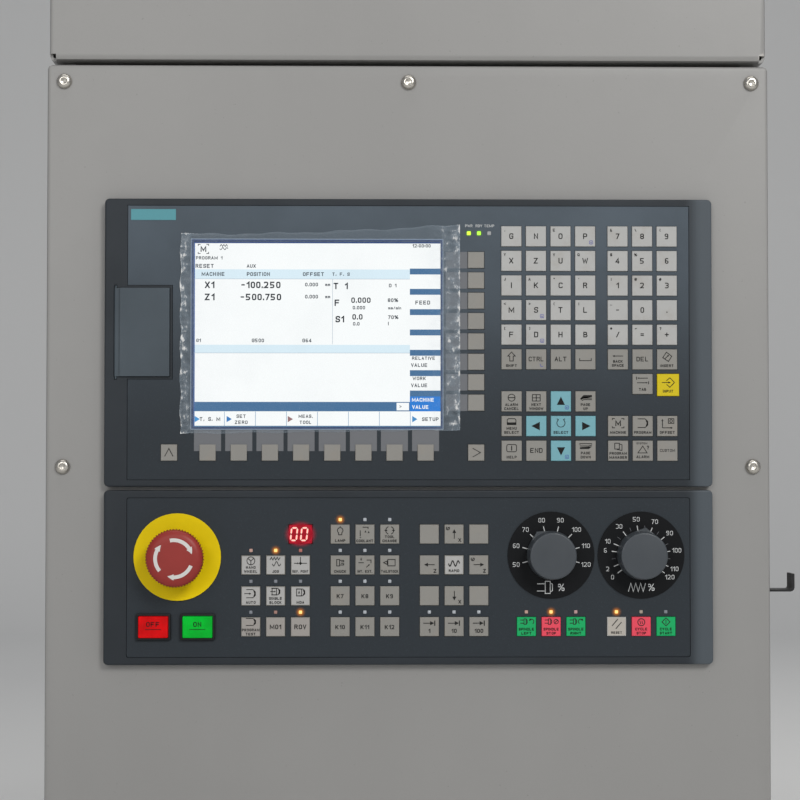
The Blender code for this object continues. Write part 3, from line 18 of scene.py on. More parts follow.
import bpy
import numpy as np
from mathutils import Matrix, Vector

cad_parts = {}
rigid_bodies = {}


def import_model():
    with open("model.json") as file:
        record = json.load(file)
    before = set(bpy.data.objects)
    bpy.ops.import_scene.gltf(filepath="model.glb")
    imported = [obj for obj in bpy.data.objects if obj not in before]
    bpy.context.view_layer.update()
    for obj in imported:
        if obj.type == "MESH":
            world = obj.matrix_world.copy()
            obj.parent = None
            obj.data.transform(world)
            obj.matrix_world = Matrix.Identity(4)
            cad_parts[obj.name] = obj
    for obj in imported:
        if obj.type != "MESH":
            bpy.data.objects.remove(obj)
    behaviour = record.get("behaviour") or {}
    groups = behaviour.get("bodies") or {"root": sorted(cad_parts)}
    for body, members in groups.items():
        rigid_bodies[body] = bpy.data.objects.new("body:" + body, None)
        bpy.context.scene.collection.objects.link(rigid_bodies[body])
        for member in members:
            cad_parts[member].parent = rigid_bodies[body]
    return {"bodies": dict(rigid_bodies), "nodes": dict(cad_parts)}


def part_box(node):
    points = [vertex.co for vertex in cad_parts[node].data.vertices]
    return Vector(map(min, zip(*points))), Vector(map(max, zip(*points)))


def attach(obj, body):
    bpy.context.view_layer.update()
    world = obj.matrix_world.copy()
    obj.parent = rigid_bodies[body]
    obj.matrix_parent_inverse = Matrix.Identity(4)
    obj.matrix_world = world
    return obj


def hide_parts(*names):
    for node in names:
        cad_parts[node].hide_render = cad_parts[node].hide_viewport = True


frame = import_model()

LOG = logging.getLogger("station")

# Lengths in metres, but STROKE in millimetres on a key; ARC_STEP in degrees.
MM = 0.001
HAIR = 0.05 * MM
NEAR_AXIS = 0.02 * MM
SCREEN_BORDER = 6.0 * MM
STROKE = 0.52
ARC_STEP = 9.0
SAME_POINT = 1e-6
SHORTEST_NORMAL = 0.7
SQUARENESS = 6.0
STATION_BODY = "station"

Colour = tuple[float, float, float]
Spot = tuple[float, float, float]
Flat = Sequence[tuple[float, float]]
Legends = Sequence[Sequence[str]]


def srgb(red: int, green: int, blue: int) -> Colour:
    """Turn a colour as seen on a screen, 0 to 255, into linear light.

    Args:
        red: Red share.
        green: Green share.
        blue: Blue share.

    Returns:
        The same colour as three linear values from 0 to 1.
    """
    shares = (red / 255, green / 255, blue / 255)
    return tuple(c / 12.92 if c <= 0.04045 else ((c + 0.055) / 1.055) ** 2.4 for c in shares)


class Ink(Enum):
    """Colours of the print and of the inserts under it."""

    DARK = srgb(18, 18, 18)
    SOFT = srgb(40, 40, 39)
    BLUE = srgb(74, 76, 166)
    PALE = srgb(206, 208, 208)
    GREY = srgb(112, 114, 118)
    TEAL = srgb(91, 152, 161)
    WHITE = srgb(214, 212, 208)
    BRIGHT_KEY = srgb(176, 175, 173)
    WARM_KEY = srgb(160, 155, 150)


# Shader building.

@dataclass(frozen=True)
class Value:
    """One output socket whose arithmetic adds Math nodes to its tree."""

    tree: bpy.types.NodeTree
    socket: bpy.types.NodeSocket

    def maths(self, operation: str, first: Value | float, second: Value | float) -> Value:
        """Add one Math node.

        Args:
            operation: The node's operation.
            first: Its first term.
            second: Its second term.

        Returns:
            The node's result.
        """
        node = self.tree.nodes.new("ShaderNodeMath")
        node.operation = operation
        feed(self.tree, node.inputs[0], first)
        feed(self.tree, node.inputs[1], second)
        return Value(self.tree, node.outputs[0])

    def __add__(self, other: Value | float) -> Value:
        """Sum."""
        return self.maths("ADD", self, other)

    def __radd__(self, other: float) -> Value:
        """Sum with a number on the left."""
        return self.maths("ADD", other, self)

    def __sub__(self, other: Value | float) -> Value:
        """Difference."""
        return self.maths("SUBTRACT", self, other)

    def __mul__(self, other: Value | float) -> Value:
        """Product."""
        return self.maths("MULTIPLY", self, other)

    def __rmul__(self, other: float) -> Value:
        """Product with a number on the left."""
        return self.maths("MULTIPLY", other, self)


def feed(tree: bpy.types.NodeTree, socket: bpy.types.NodeSocket, term: object) -> None:
    """Link a value to a socket, or set the socket's own number or colour.

    Args:
        tree: The node tree.
        socket: The input socket.
        term: A Value, a number or a sequence of numbers.
    """
    if isinstance(term, Value):
        tree.links.new(term.socket, socket)
    elif isinstance(term, tuple) and len(term) == 3 and socket.type == "RGBA":
        socket.default_value = (*term, 1.0)
    else:
        socket.default_value = term


class Shader:
    """A node material under construction, with a Principled shader at its end."""

    def __init__(self, name: str) -> None:
        """Start an empty material with that name."""
        self.material = bpy.data.materials.new(name)
        self.material.use_nodes = True
        self.tree = self.material.node_tree
        self.surface = self.tree.nodes["Principled BSDF"]

    def node(self, kind: str, settings: dict[str, object] | None = None,
             inputs: dict[int | str, object] | None = None, output: int | str = 0) -> Value:
        """Add any node.

        Args:
            kind: The node's type.
            settings: Its own settings, set first.
            inputs: Values or links by socket name or number.
            output: The output that is wanted.

        Returns:
            That output.
        """
        made = self.tree.nodes.new(kind)
        for name, setting in (settings or {}).items():
            setattr(made, name, setting)
        for place, term in (inputs or {}).items():
            feed(self.tree, made.inputs[place], term)
        return Value(self.tree, made.outputs[output])

    def place(self, scale: tuple[float, float, float] = (1.0, 1.0, 1.0)) -> Value:
        """Object coordinates, stretched along each axis."""
        spot = self.node("ShaderNodeTexCoord", output="Object")
        return self.node("ShaderNodeMapping", inputs={"Vector": spot, "Scale": scale})

    def axes(self) -> tuple[Value, Value, Value]:
        """The X, Y and Z of Object coordinates, in metres."""
        spot = self.node("ShaderNodeTexCoord", output="Object")
        parts = self.node("ShaderNodeSeparateXYZ", inputs={0: spot})
        return tuple(Value(self.tree, socket) for socket in parts.socket.node.outputs)

    def noise(self, scale: float, detail: float = 3.0, roughness: float = 0.55,
              stretch: tuple[float, float, float] = (1.0, 1.0, 1.0)) -> Value:
        """Noise over the surface.

        Args:
            scale: Features per metre.
            detail: Octaves.
            roughness: Share of the finer octaves.
            stretch: Scale along each axis.

        Returns:
            A value of about 0.3 to 0.7.
        """
        return self.node("ShaderNodeTexNoise", inputs={
            "Vector": self.place(stretch), "Scale": scale, "Detail": detail,
            "Roughness": roughness})

    def step(self, value: Value, low: float, high: float) -> Value:
        """A smooth step from 0 at low to 1 at high, which may be below low."""
        return self.node("ShaderNodeMapRange", {"interpolation_type": "SMOOTHSTEP"}, {
            "Value": value, "From Min": low, "From Max": high})

    def clamp(self, value: Value) -> Value:
        """The value kept between 0 and 1."""
        return self.node("ShaderNodeClamp", inputs={"Value": value})

    def mix(self, share: Value | float, first: Value | Colour, second: Value | Colour) -> Value:
        """A colour between two others."""
        return self.node("ShaderNodeMix", {"data_type": "RGBA"}, {0: share, 6: first, 7: second}, 2)

    def bump(self, height: Value, depth: float, strength: float = 1.0,
             under: Value | None = None) -> Value:
        """A normal bent by a height.

        Args:
            height: Height from 0 to 1.
            depth: What a height of 1 stands for, in metres.
            strength: Share of the bump that shows.
            under: A normal that is already bent.

        Returns:
            The bent normal.
        """
        inputs = {"Height": height, "Distance": depth, "Strength": strength}
        if under is not None:
            inputs["Normal"] = under
        return self.node("ShaderNodeBump", inputs=inputs)

    def attribute(self, name: str, output: str = "Color") -> Value:
        """A colour or a number kept with the mesh."""
        return self.node("ShaderNodeAttribute", {"attribute_name": name}, output=output)

    def set(self, **terms: object) -> None:
        """Set or link sockets of the Principled shader, with _ for a space in a name."""
        for name, term in terms.items():
            feed(self.tree, self.surface.inputs[name.replace("_", " ")], term)


# Finishes.

@dataclass(frozen=True)
class Finish:
    """What every finish has: a name, a colour and a roughness."""

    name: str
    colour: Colour
    roughness: float = 0.5

    def material(self) -> bpy.types.Material:
        """The finish's material, built the first time that it is asked for."""
        known = bpy.data.materials.get(self.name)
        if known is None:
            shader = Shader(self.name)
            self.paint(shader)
            known = shader.material
        return known

    def paint(self, shader: Shader) -> None:
        """Lay the finish on a shader; each kind of finish does it its own way."""
        raise NotImplementedError

    def shade(self, gain: float) -> Colour:
        """The colour made lighter or darker."""
        return tuple(min(1.0, part * gain) for part in self.colour)


@dataclass(frozen=True)
class Enamel(Finish):
    """Baked enamel on sheet steel: orange peel, faint clouds, dust specks and rubbed marks."""

    peel: float = 0.035 * MM
    waviness: float = 0.5 * MM
    ground_spots: tuple[Spot, ...] = ()
    spot_colour: Colour = srgb(214, 210, 204)
    spot_radius: float = 3.2 * MM
    spot_edge: float = 3.0 * MM
    spot_ragged: float = 4.0 * MM
    spot_metal: float = 0.6

    def paint(self, shader: Shader) -> None:
        """Clouds and streaks tint the colour, specks darken it, and ground welds shine through."""
        clouds = shader.noise(2.6, 4.0, 0.6)
        streaks = shader.noise(5.0, 4.0, 0.6, (3.0, 3.0, 0.35))
        tone = shader.mix(shader.step(clouds, 0.32, 0.68), self.shade(0.93), self.shade(1.07))
        tone = shader.mix(shader.step(streaks, 0.35, 0.75) * 0.35, tone, self.shade(1.10))
        specks = shader.step(shader.noise(420.0, 2.0, 0.5), 0.735, 0.775)
        tone = shader.mix(specks * 0.55, tone, self.shade(0.45))
        grain = shader.noise(900.0, 3.0, 0.6)
        tone = shader.mix(grain, tone, self.shade(0.985))
        rough = 0.12 * clouds + (0.10 * shader.noise(60.0, 4.0, 0.65) + (self.roughness - 0.11))
        metal: Value | float = 0.0
        for spot in self.ground_spots:
            place = shader.node("ShaderNodeTexCoord", output="Object")
            far = shader.node("ShaderNodeVectorMath", {"operation": "DISTANCE"},
                              {0: place, 1: spot}, "Value")
            ragged = far + shader.noise(500.0) * self.spot_ragged
            near = shader.step(ragged, self.spot_radius + self.spot_edge, self.spot_radius)
            tone = shader.mix(near, tone, self.spot_colour)
            metal = metal + near * self.spot_metal
        peel = shader.bump(shader.noise(340.0, 2.0, 0.5), self.peel)
        waves = shader.bump(shader.noise(9.0, 2.0, 0.5), self.waviness, 0.35, peel)
        shader.set(Base_Color=tone, Roughness=rough, Metallic=metal, Normal=waves)


@dataclass(frozen=True)
class Moulded(Finish):
    """Textured moulded plastic: fine spark-eroded grain, faint clouds and polished wear, and, where
    asked, a painted sheen band and painted shade towards the foot.
    """

    grain: float = 1500.0
    depth: float = 0.02 * MM
    band: tuple[float, float] | None = None
    band_colour: Colour = (0.0, 0.0, 0.0)
    # Heights over which painted shade at the foot gives way to the plain colour, and how dark that
    # painted shade is.
    rise: tuple[float, float] | None = None
    foot_gain: float = 1.0
    dust: float = 0.12
    shine: float = 0.2

    def paint(self, shader: Shader) -> None:
        """Clouds tint the colour, a painted sheen may lighten one side and painted shade may darken
        the foot, under fine dust.
        """
        clouds = shader.noise(14.0, 4.0, 0.6)
        tone = shader.mix(shader.step(clouds, 0.3, 0.7), self.shade(0.90), self.shade(1.10))
        across, _, up = shader.axes()
        # Painted reflection: darker towards the bottom, where the gloss reflects less light.
        if self.rise is not None:
            tone = shader.mix(shader.step(up, *self.rise), self.shade(self.foot_gain), tone)
        # Painted sheen: a lighter band across the given range of X stands in for light reflected
        # off that side.
        if self.band is not None:
            lines = shader.noise(260.0, 2.0, 0.5, (1.0, 0.02, 0.02))
            share = shader.step(across + (lines - 0.5) * 0.004, *self.band)
            tone = shader.mix(share, tone, self.band_colour)
        fine = shader.noise(self.grain, 2.0, 0.6)
        tone = shader.mix(shader.step(fine, 0.60, 0.72) * self.dust, tone, self.shade(1.8))
        rough = 0.16 * shader.noise(45.0, 4.0, 0.6) + (self.roughness - 0.08)
        shader.set(Base_Color=tone, Roughness=rough, Specular_IOR_Level=self.shine,
                   Normal=shader.bump(fine, self.depth))


@dataclass(frozen=True)
class KeyCap(Finish):
    """Satin key cap: a slightly mottled colour, finger polish and a fine matt grain."""

    warm: Colour = srgb(150, 140, 128)
    stain: float = 0.30

    def paint(self, shader: Shader) -> None:
        """Soft blotches warm the colour, and a fine grain breaks the shine."""
        blotches = shader.step(shader.noise(70.0, 4.0, 0.65), 0.46, 0.72)
        tone = shader.mix(blotches * self.stain, self.colour, self.warm)
        broad = shader.step(shader.noise(16.0, 2.0, 0.5), 0.35, 0.65)
        tone = shader.mix(broad * 0.5, tone, self.shade(1.06))
        rough = 0.2 * shader.noise(120.0, 3.0, 0.6) + (self.roughness - 0.1)
        shader.set(Base_Color=tone, Roughness=rough, Specular_IOR_Level=0.3,
                   Normal=shader.bump(shader.noise(2200.0, 2.0), 0.008 * MM))


@dataclass(frozen=True)
class Steel(Finish):
    """Bare metal with fine drawn lines along one axis and duller patches."""

    lines: tuple[float, float, float] = (1.0, 0.03, 1.0)
    metallic: float = 1.0
    depth: float = 0.004 * MM

    def paint(self, shader: Shader) -> None:
        """Lines vary the roughness and the height, and patches dull the colour."""
        drawn = shader.noise(1400.0, 3.0, 0.6, self.lines)
        patches = shader.step(shader.noise(38.0, 4.0, 0.6), 0.4, 0.7)
        tone = shader.mix(patches * 0.4, self.colour, self.shade(0.62))
        rough = 0.22 * drawn + (0.12 * patches + (self.roughness - 0.12))
        shader.set(Base_Color=tone, Roughness=rough, Metallic=self.metallic,
                   Normal=shader.bump(drawn, self.depth))


@dataclass(frozen=True)
class Board(Finish):
    """Green solder mask over copper tracks, with tinned spots."""

    copper: Colour = srgb(120, 150, 70)

    def paint(self, shader: Shader) -> None:
        """Square cells lighten the mask like tracks, and small cells shine like tin."""
        cells = shader.node("ShaderNodeTexVoronoi",
                            {"distance": "CHEBYCHEV", "feature": "DISTANCE_TO_EDGE"},
                            {"Vector": shader.place(), "Scale": 260.0})
        tracks = shader.step(cells, 0.09, 0.05)
        tone = shader.mix(tracks * 0.6, self.colour, self.copper)
        tone = shader.mix(shader.step(shader.noise(30.0), 0.3, 0.7) * 0.3, tone, self.shade(0.6))
        shader.set(Base_Color=tone, Roughness=0.15 * cells + self.roughness,
                   Normal=shader.bump(tracks, 0.03 * MM))


@dataclass(frozen=True)
class Painted(Finish):
    """Print and lamps whose colour and light are kept with their own mesh."""

    sheer: bool = False
    coat: float = 0.0

    def paint(self, shader: Shader) -> None:
        """The mesh's tint is worn a little by a fine noise, and its light is added."""
        tint = shader.attribute("tint")
        worn = shader.step(shader.noise(700.0, 3.0, 0.6), 0.30, 0.72)
        tone = shader.mix(worn * 0.05, tint, self.colour)
        shader.set(Base_Color=tone, Roughness=0.2 * worn + (self.roughness - 0.1),
                   Emission_Color=shader.attribute("light"), Emission_Strength=1.0,
                   Coat_Weight=self.coat, Specular_IOR_Level=0.15)
        if self.sheer:
            shader.set(Alpha=shader.attribute("tint", "Alpha"))


@dataclass(frozen=True)
class Lens(Finish):
    """Coloured button lens with a faint painted glow, and scratches on its gloss."""

    glow: Colour = (0.0, 0.0, 0.0)

    def paint(self, shader: Shader) -> None:
        """The painted glow varies softly across the lens, and scratches dull its coat."""
        cloud = shader.step(shader.noise(90.0, 2.0, 0.5), 0.3, 0.7)
        scratches = shader.noise(900.0, 3.0, 0.7, (1.0, 1.0, 0.06))
        faint = tuple(0.6 * part for part in self.glow)
        shader.set(Base_Color=shader.mix(cloud, self.shade(0.85), self.shade(1.1)),
                   Emission_Color=shader.mix(cloud, faint, self.glow),
                   Emission_Strength=1.0, Roughness=0.25 * scratches + (self.roughness - 0.1),
                   Coat_Weight=0.05, Coat_Roughness=0.08, Specular_IOR_Level=0.1,
                   Normal=shader.bump(shader.noise(60.0, 2.0), 0.05 * MM, 0.5))


@dataclass(frozen=True)
class Film(Finish):
    """Clear protective film: almost invisible where it lies flat, with painted highlights along its
    creases.
    """

    haze: float = 0.055
    smear: float = 0.05
    crease_haze: float = 0.45
    glint_haze: float = 0.24
    glint_colour: Colour = (0.93, 0.93, 0.92)

    def paint(self, shader: Shader) -> None:
        """Opacity follows the painted crease highlights kept with the mesh and a torn noise round
        them, and painted glints whiten the sharper creases.
        """
        crease = shader.attribute("crease", "Fac")
        torn = shader.noise(420.0, 5.0, 0.7, (1.0, 1.0, 0.45))
        sparks = shader.step(torn * (0.55 + 0.45 * crease), 0.44, 0.56)
        # Painted glints: specks of white painted highlight on the sharper creases.
        painted_glints = sparks * shader.step(crease, 0.35, 0.9)
        smear = shader.step(shader.noise(26.0, 4.0, 0.6), 0.4, 0.75) * self.smear
        creased = self.crease_haze * crease + self.glint_haze * painted_glints
        opacity = shader.clamp(self.haze + smear + creased)
        shader.set(Base_Color=shader.mix(painted_glints, self.colour, self.glint_colour), Alpha=opacity,
                   Roughness=0.2 * torn + (self.roughness - 0.1),
                   Normal=shader.bump(torn, 0.15 * MM, 0.6))


@dataclass(frozen=True)
class Pale(Finish):
    """Pale matt studio surface with the faintest unevenness."""

    def paint(self, shader: Shader) -> None:
        """Slow clouds keep the surface from being one flat colour."""
        clouds = shader.noise(0.8, 2.0, 0.5)
        shader.set(Base_Color=shader.mix(clouds, self.shade(0.98), self.shade(1.02)),
                   Roughness=self.roughness)


# Surfaces worked out as arrays.

def closed_grid(points: np.ndarray) -> tuple[np.ndarray, np.ndarray]:
    """Join a grid that closes round its columns and end it with fans.

    Each cell of the grid is two triangles. The first and last rows are closed by triangles to
    their own middle point, and all faces are turned if the signed volume comes out negative.

    Args:
        points: Grid of points, rows by columns by 3.

    Returns:
        The vertices and the triangles.
    """
    rows, columns = points.shape[:2]
    ring = np.arange(columns)
    beside = np.roll(ring, -1)
    last_row = (rows - 1) * columns
    hub = np.full(columns, rows * columns)
    faces = np.concatenate([grid_cells(rows, columns, True), np.stack([beside, ring, hub], -1),
                            np.stack([ring + last_row, beside + last_row, hub + 1], -1)])
    vertices = np.concatenate([points.reshape(-1, 3), points[0].mean(0)[None],
                               points[-1].mean(0)[None]])
    first, second, third = (vertices[faces[:, corner]] for corner in range(3))
    if np.einsum("ij,ij->", first, np.cross(second, third)) < 0:
        faces = faces[:, ::-1]
    return vertices, faces


def grid_cells(rows: int, columns: int, closed: bool = False) -> np.ndarray:
    """Two triangles for each cell of a grid, which may close round its columns."""
    index = np.arange(rows * columns).reshape(rows, columns)
    index = np.concatenate([index, index[:, :1]], 1) if closed else index
    low, right, far, up = index[:-1, :-1], index[:-1, 1:], index[1:, 1:], index[1:, :-1]
    halves = (low, right, far), (low, far, up)
    return np.concatenate([np.stack(half, -1).reshape(-1, 3) for half in halves])


def round_corners(profile: np.ndarray, reach: Sequence[float], steps: int = 4) -> np.ndarray:
    """Replace each inner corner of a profile by a short curve.

    A corner's curve leaves one side and meets the other at the given reach from the corner, along
    the parabola (1-t)^2 start + 2t(1-t) corner + t^2 end.

    Args:
        profile: Points of the profile, one row each.
        reach: Reach at each point, 0 where the corner stays sharp.
        steps: Pieces of each curve.

    Returns:
        The new profile.
    """
    rounded = [profile[:1]]
    t = np.linspace(0, 1, steps + 1)[:, None]
    for before, corner, after, size in zip(profile, profile[1:], profile[2:], reach[1:]):
        if size <= 0:
            rounded.append(corner[None])
            continue
        towards_before, towards_after = before - corner, after - corner
        start = corner + towards_before * min(0.5, size / np.linalg.norm(towards_before))
        end = corner + towards_after * min(0.5, size / np.linalg.norm(towards_after))
        rounded.append((1 - t) ** 2 * start + 2 * t * (1 - t) * corner + t ** 2 * end)
    rounded.append(profile[-1:])
    return np.concatenate(rounded)


RadiusRule = Callable[[np.ndarray, np.ndarray, np.ndarray], np.ndarray]


def turn(profile: np.ndarray, centre: tuple[float, float], sides: int,
         rule: RadiusRule | None = None, first_angle: float = 0.0) -> tuple[np.ndarray, np.ndarray]:
    """Turn a profile about an axis along Y.

    The point at radius r and depth y goes to (x + r sin a, y, z + r cos a) for each angle a. A rule
    may change r for each row and angle, such as for teeth or flats.

    Args:
        profile: Rows of radius and depth; both ends lie near the axis.
        centre: The axis's X and Z.
        sides: Number of angles.
        rule: Radius from radius, depth and angle, as arrays that spread over rows and angles.
        first_angle: First angle in radians.

    Returns:
        The vertices and the triangles of the closed surface.
    """
    radius, depth = profile[:, :1], profile[:, 1:]
    angle = first_angle + np.linspace(0, 2 * math.pi, sides, endpoint=False)[None, :]
    radius = radius + 0 * angle if rule is None else rule(radius, depth, angle)
    return closed_grid(np.stack([centre[0] + radius * np.sin(angle), depth + 0 * angle,
                                 centre[1] + radius * np.cos(angle)], -1))


def squircle(radius: np.ndarray, _depth: np.ndarray, angle: np.ndarray) -> np.ndarray:
    """A rule that turns circles into squares with rounded corners: r (|sin|^p + |cos|^p)^(-1/p)."""
    across, up = np.abs(np.sin(angle)) ** SQUARENESS, np.abs(np.cos(angle)) ** SQUARENESS
    return radius / (across + up) ** (1 / SQUARENESS)


class Gathering:
    """Shapes that become one mesh, each vertex with its own tint and light."""

    def __init__(self, name: str) -> None:
        """Start an empty gathering with the name of its piece."""
        self.name = name
        self.points: list[np.ndarray] = []
        self.faces: list[np.ndarray] = []
        self.tints: list[np.ndarray] = []
        self.lights: list[np.ndarray] = []
        self.count = 0

    def add(self, points: np.ndarray, faces: np.ndarray, tint: Sequence[float] | np.ndarray,
            light: Colour = (0.0, 0.0, 0.0)) -> None:
        """Add one shape.

        Args:
            points: Its vertices.
            faces: Its triangles.
            tint: One colour, with or without opacity, or one for each vertex.
            light: The light that it gives.
        """
        colours = np.broadcast_to(np.asarray(tint, float), (len(points), np.shape(tint)[-1]))
        if colours.shape[1] == 3:
            colours = np.column_stack([colours, np.ones(len(points))])
        self.points.append(points)
        self.faces.append(faces + self.count)
        self.tints.append(colours)
        self.lights.append(np.broadcast_to(np.array([*light, 1.0]), (len(points), 4)))
        self.count += len(points)

    def mesh(self) -> bpy.types.Mesh:
        """Put the shapes into one mesh with its tint and light attributes."""
        mesh = make_mesh(self.name, np.concatenate(self.points), np.concatenate(self.faces))
        for label, rows in (("tint", self.tints), ("light", self.lights)):
            layer = mesh.color_attributes.new(label, "FLOAT_COLOR", "POINT")
            layer.data.foreach_set("color", np.concatenate(rows).astype(np.float32).ravel())
        return mesh


def make_mesh(name: str, points: np.ndarray, faces: np.ndarray) -> bpy.types.Mesh:
    """Make a mesh of triangles from arrays."""
    mesh = bpy.data.meshes.new(name)
    mesh.from_pydata(points.tolist(), [], faces.tolist())
    mesh.update()
    return mesh


def present(mesh: bpy.types.Mesh, finish: Finish, body: str = STATION_BODY,
            sharp: float | None = None, stands_for: Sequence[str] = ()) -> bpy.types.Object:
    """Show a mesh as a finished piece of the station.

    Args:
        mesh: The piece's mesh, in place.
        finish: Its finish.
        body: The body that it rides on.
        sharp: Angle in degrees above which edges stay sharp, or None for flat faces.
        stands_for: Nodes that it replaces.

    Returns:
        The new object.
    """
    if sharp is not None:
        mesh.shade_smooth()
        mesh.set_sharp_from_angle(angle=math.radians(sharp))
    piece = bpy.data.objects.new(mesh.name, mesh)
    bpy.context.scene.collection.objects.link(piece)
    mesh.materials.append(finish.material())
    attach(piece, body)
    if stands_for:
        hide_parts(*stands_for)
    LOG.info("%s: %d faces on %s", piece.name, len(mesh.polygons), body)
    return piece


# Printing.

GLYPHS: dict[str, str] = {
    "A": "00 4c 80|14 74", "B": "06 86o 80o 00 0c 7co 76o 06", "C": "8a 8co 0co 00o 80o 82",
    "D": "00 0c 8co 80o 00", "E": "8c 0c 00 80|06 76", "F": "8c 0c 00|06 76",
    "G": "8a 8co 0co 00o 80o 86 56", "H": "00 0c|80 8c|06 86", "I": "00 0c", "J": "6c 60o 00o 03",
    "K": "00 0c|8c 04|37 80", "L": "0c 00 70", "M": "00 0c 62 cc c0", "N": "00 0c 80 8c",
    "O": "06 0co 8co 80o 00o 06", "P": "00 0c 8co 85o 05", "Q": "06 0co 8co 80o 00o 06|53 90",
    "R": "00 0c 8co 86o 06|56 80", "S": "8a 8co 0co 06o 86o 80o 00o 02", "T": "0c 8c|4c 40",
    "U": "0c 00o 80o 8c", "V": "0c 40 8c", "W": "0c 30 6a 90 cc", "X": "0c 80|8c 00",
    "Y": "0c 46 8c|46 40", "Z": "0c 8c 00 80", "0": "06 0co 7co 70o 00o 06", "1": "09 4c 40",
    "2": "0b 0co 7co 76o 00 70", "3": "0c 7co 76o 36|36 76o 70o 00", "4": "60 6c 03 83",
    "5": "7c 0c 06 76o 70o 00", "6": "6c 0co 00o 70o 76o 06", "7": "0c 7c 20",
    "8": "36 06o 0co 7co 76o 36|36 06o 00o 70o 76o 36", "9": "10 70o 7co 0co 06o 76", ".": "00 01",
    ",": "12 00", "-": "06 56", "=": "04 64|08 68", "+": "06 86|4a 42", "/": "00 6c", "\\": "0c 60",
    "_": "00 80", "%": "20 bc|09 0co 5co 57o 07o 09|83 85o d5o d0o 80o 83",
    "?": "0a 0co 6co 67o 36 34|31 30", "!": "04 0c|01 00", "(": "2c 0ao 02o 20",
    ")": "0c 2ao 22o 00", "[": "2c 0c 00 20", "]": "0c 2c 20 00", "<": "7a 06 72", ">": "0a 76 02",
    "&": "80 1ao 2co 5co 5ao 04o 00o 60o 84", "$": "8a 8co 0co 06o 86o 80o 00o 02|4c 40",
    "@": "64 68o 38o 34o 64 a4o aco 0co 00o 80o", "#": "20 4c|60 8c|04 a4|08 a8",
    "*": "06 86|4a 42|19 73|13 79", "~": "04 36 54 88", '"': "0c 09|3c 39", "'": "0c 09",
    ":": "02 03|08 09", "a": "08 68o 60 00o 04o 64", "m": "00 08|08 48o 40|48 88o 80",
    "i": "00 08|0b 0c", "n": "00 08 68o 60"}


def ribbon(path: np.ndarray, width: float, closed: bool = False) -> tuple[np.ndarray, np.ndarray]:
    """Widen a line to a flat band.

    Points that repeat the one before are left out. Each other point becomes two, half a width to
    the left and right along the mean of the normals of the stretches that meet there, lengthened
    by 1 over the cosine of half their turn, with a limit for sharp turns.

    Args:
        path: The line's points.
        width: The band's width.
        closed: Whether the line returns to its start.

    Returns:
        The band's points and triangles.
    """
    path = path[np.append(True, np.linalg.norm(np.diff(path, axis=0), axis=1) > SAME_POINT)]
    after = np.roll(path, -1, axis=0) - path
    if not closed:
        after[-1] = after[-2]
    before = np.roll(after, 1, axis=0)
    if not closed:
        before[0] = after[0]
    normals = [np.column_stack([-way[:, 1], way[:, 0]]) / np.linalg.norm(way, axis=1)[:, None]
               for way in (before, after)]
    middle = normals[0] + normals[1]
    length = np.maximum(np.linalg.norm(middle, axis=1), SHORTEST_NORMAL)[:, None]
    offset = middle / length * (width / length)
    count = len(path)
    left = np.arange(count if closed else count - 1)
    ahead = (left + 1) % count
    faces = np.concatenate([np.stack([left, left + count, ahead], -1),
                            np.stack([ahead, left + count, ahead + count], -1)])
    return np.concatenate([path + offset, path - offset]), faces


class Lettering:
    """Plain upright letters drawn as bands along GLYPHS, with capitals 1 high, kept by their words.

    A glyph's strokes are parted by |. Each of its points is two digits in base 36, across and up
    on a grid 12 high. A point with an o behind it is rounded.
    """

    grid: float = 12.0
    bend: float = 3.2
    gap: float = 2.0
    blank: float = 5.0

    def __init__(self) -> None:
        """Start with no words."""
        self.known: dict[tuple[str, float], tuple[np.ndarray, np.ndarray]] = {}

    def strokes(self, letter: str) -> list[np.ndarray]:
        """The middle lines of one letter's strokes."""
        lines = []
        for stroke in filter(None, GLYPHS.get(letter, "").split("|")):
            marks = stroke.split()
            path = np.array([[int(mark[0], 36), int(mark[1], 36)] for mark in marks], float)
            lines.append(round_corners(path, [self.bend * mark.endswith("o") for mark in marks], 3))
        return lines

    def outline(self, words: str, weight: float) -> tuple[np.ndarray, np.ndarray]:
        """Draw some words.

        Args:
            words: The words.
            weight: Width of a stroke as a share of a capital's height.

        Returns:
            Points, centred across and standing on their base line, and triangles.
        """
        if (words, weight) not in self.known:
            width, across, count = weight * self.grid, 0.0, 0
            points, faces = [np.zeros((0, 2))], [np.zeros((0, 3), int)]
            for letter in words:
                lines = [line * (1 - weight) for line in self.strokes(letter)]
                for line in lines:
                    for end, inner in ((0, 1), (-1, -2)):
                        way = line[end] - line[inner]
                        line[end] += way * width / 2 / np.linalg.norm(way)
                    band, cells = ribbon(line, width)
                    points.append(band + (across, width / 2))
                    faces.append(cells + count)
                    count += len(band)
                broad = max((line[:, 0].max() for line in lines), default=self.blank)
                across += broad + width + self.gap
            flat = np.concatenate(points) - ((across - self.gap - width) / 2, 0.0)
            self.known[words, weight] = flat / self.grid, np.concatenate(faces)
        return self.known[words, weight]


LETTERING = Lettering()
Surface = Callable[[np.ndarray, np.ndarray], np.ndarray]


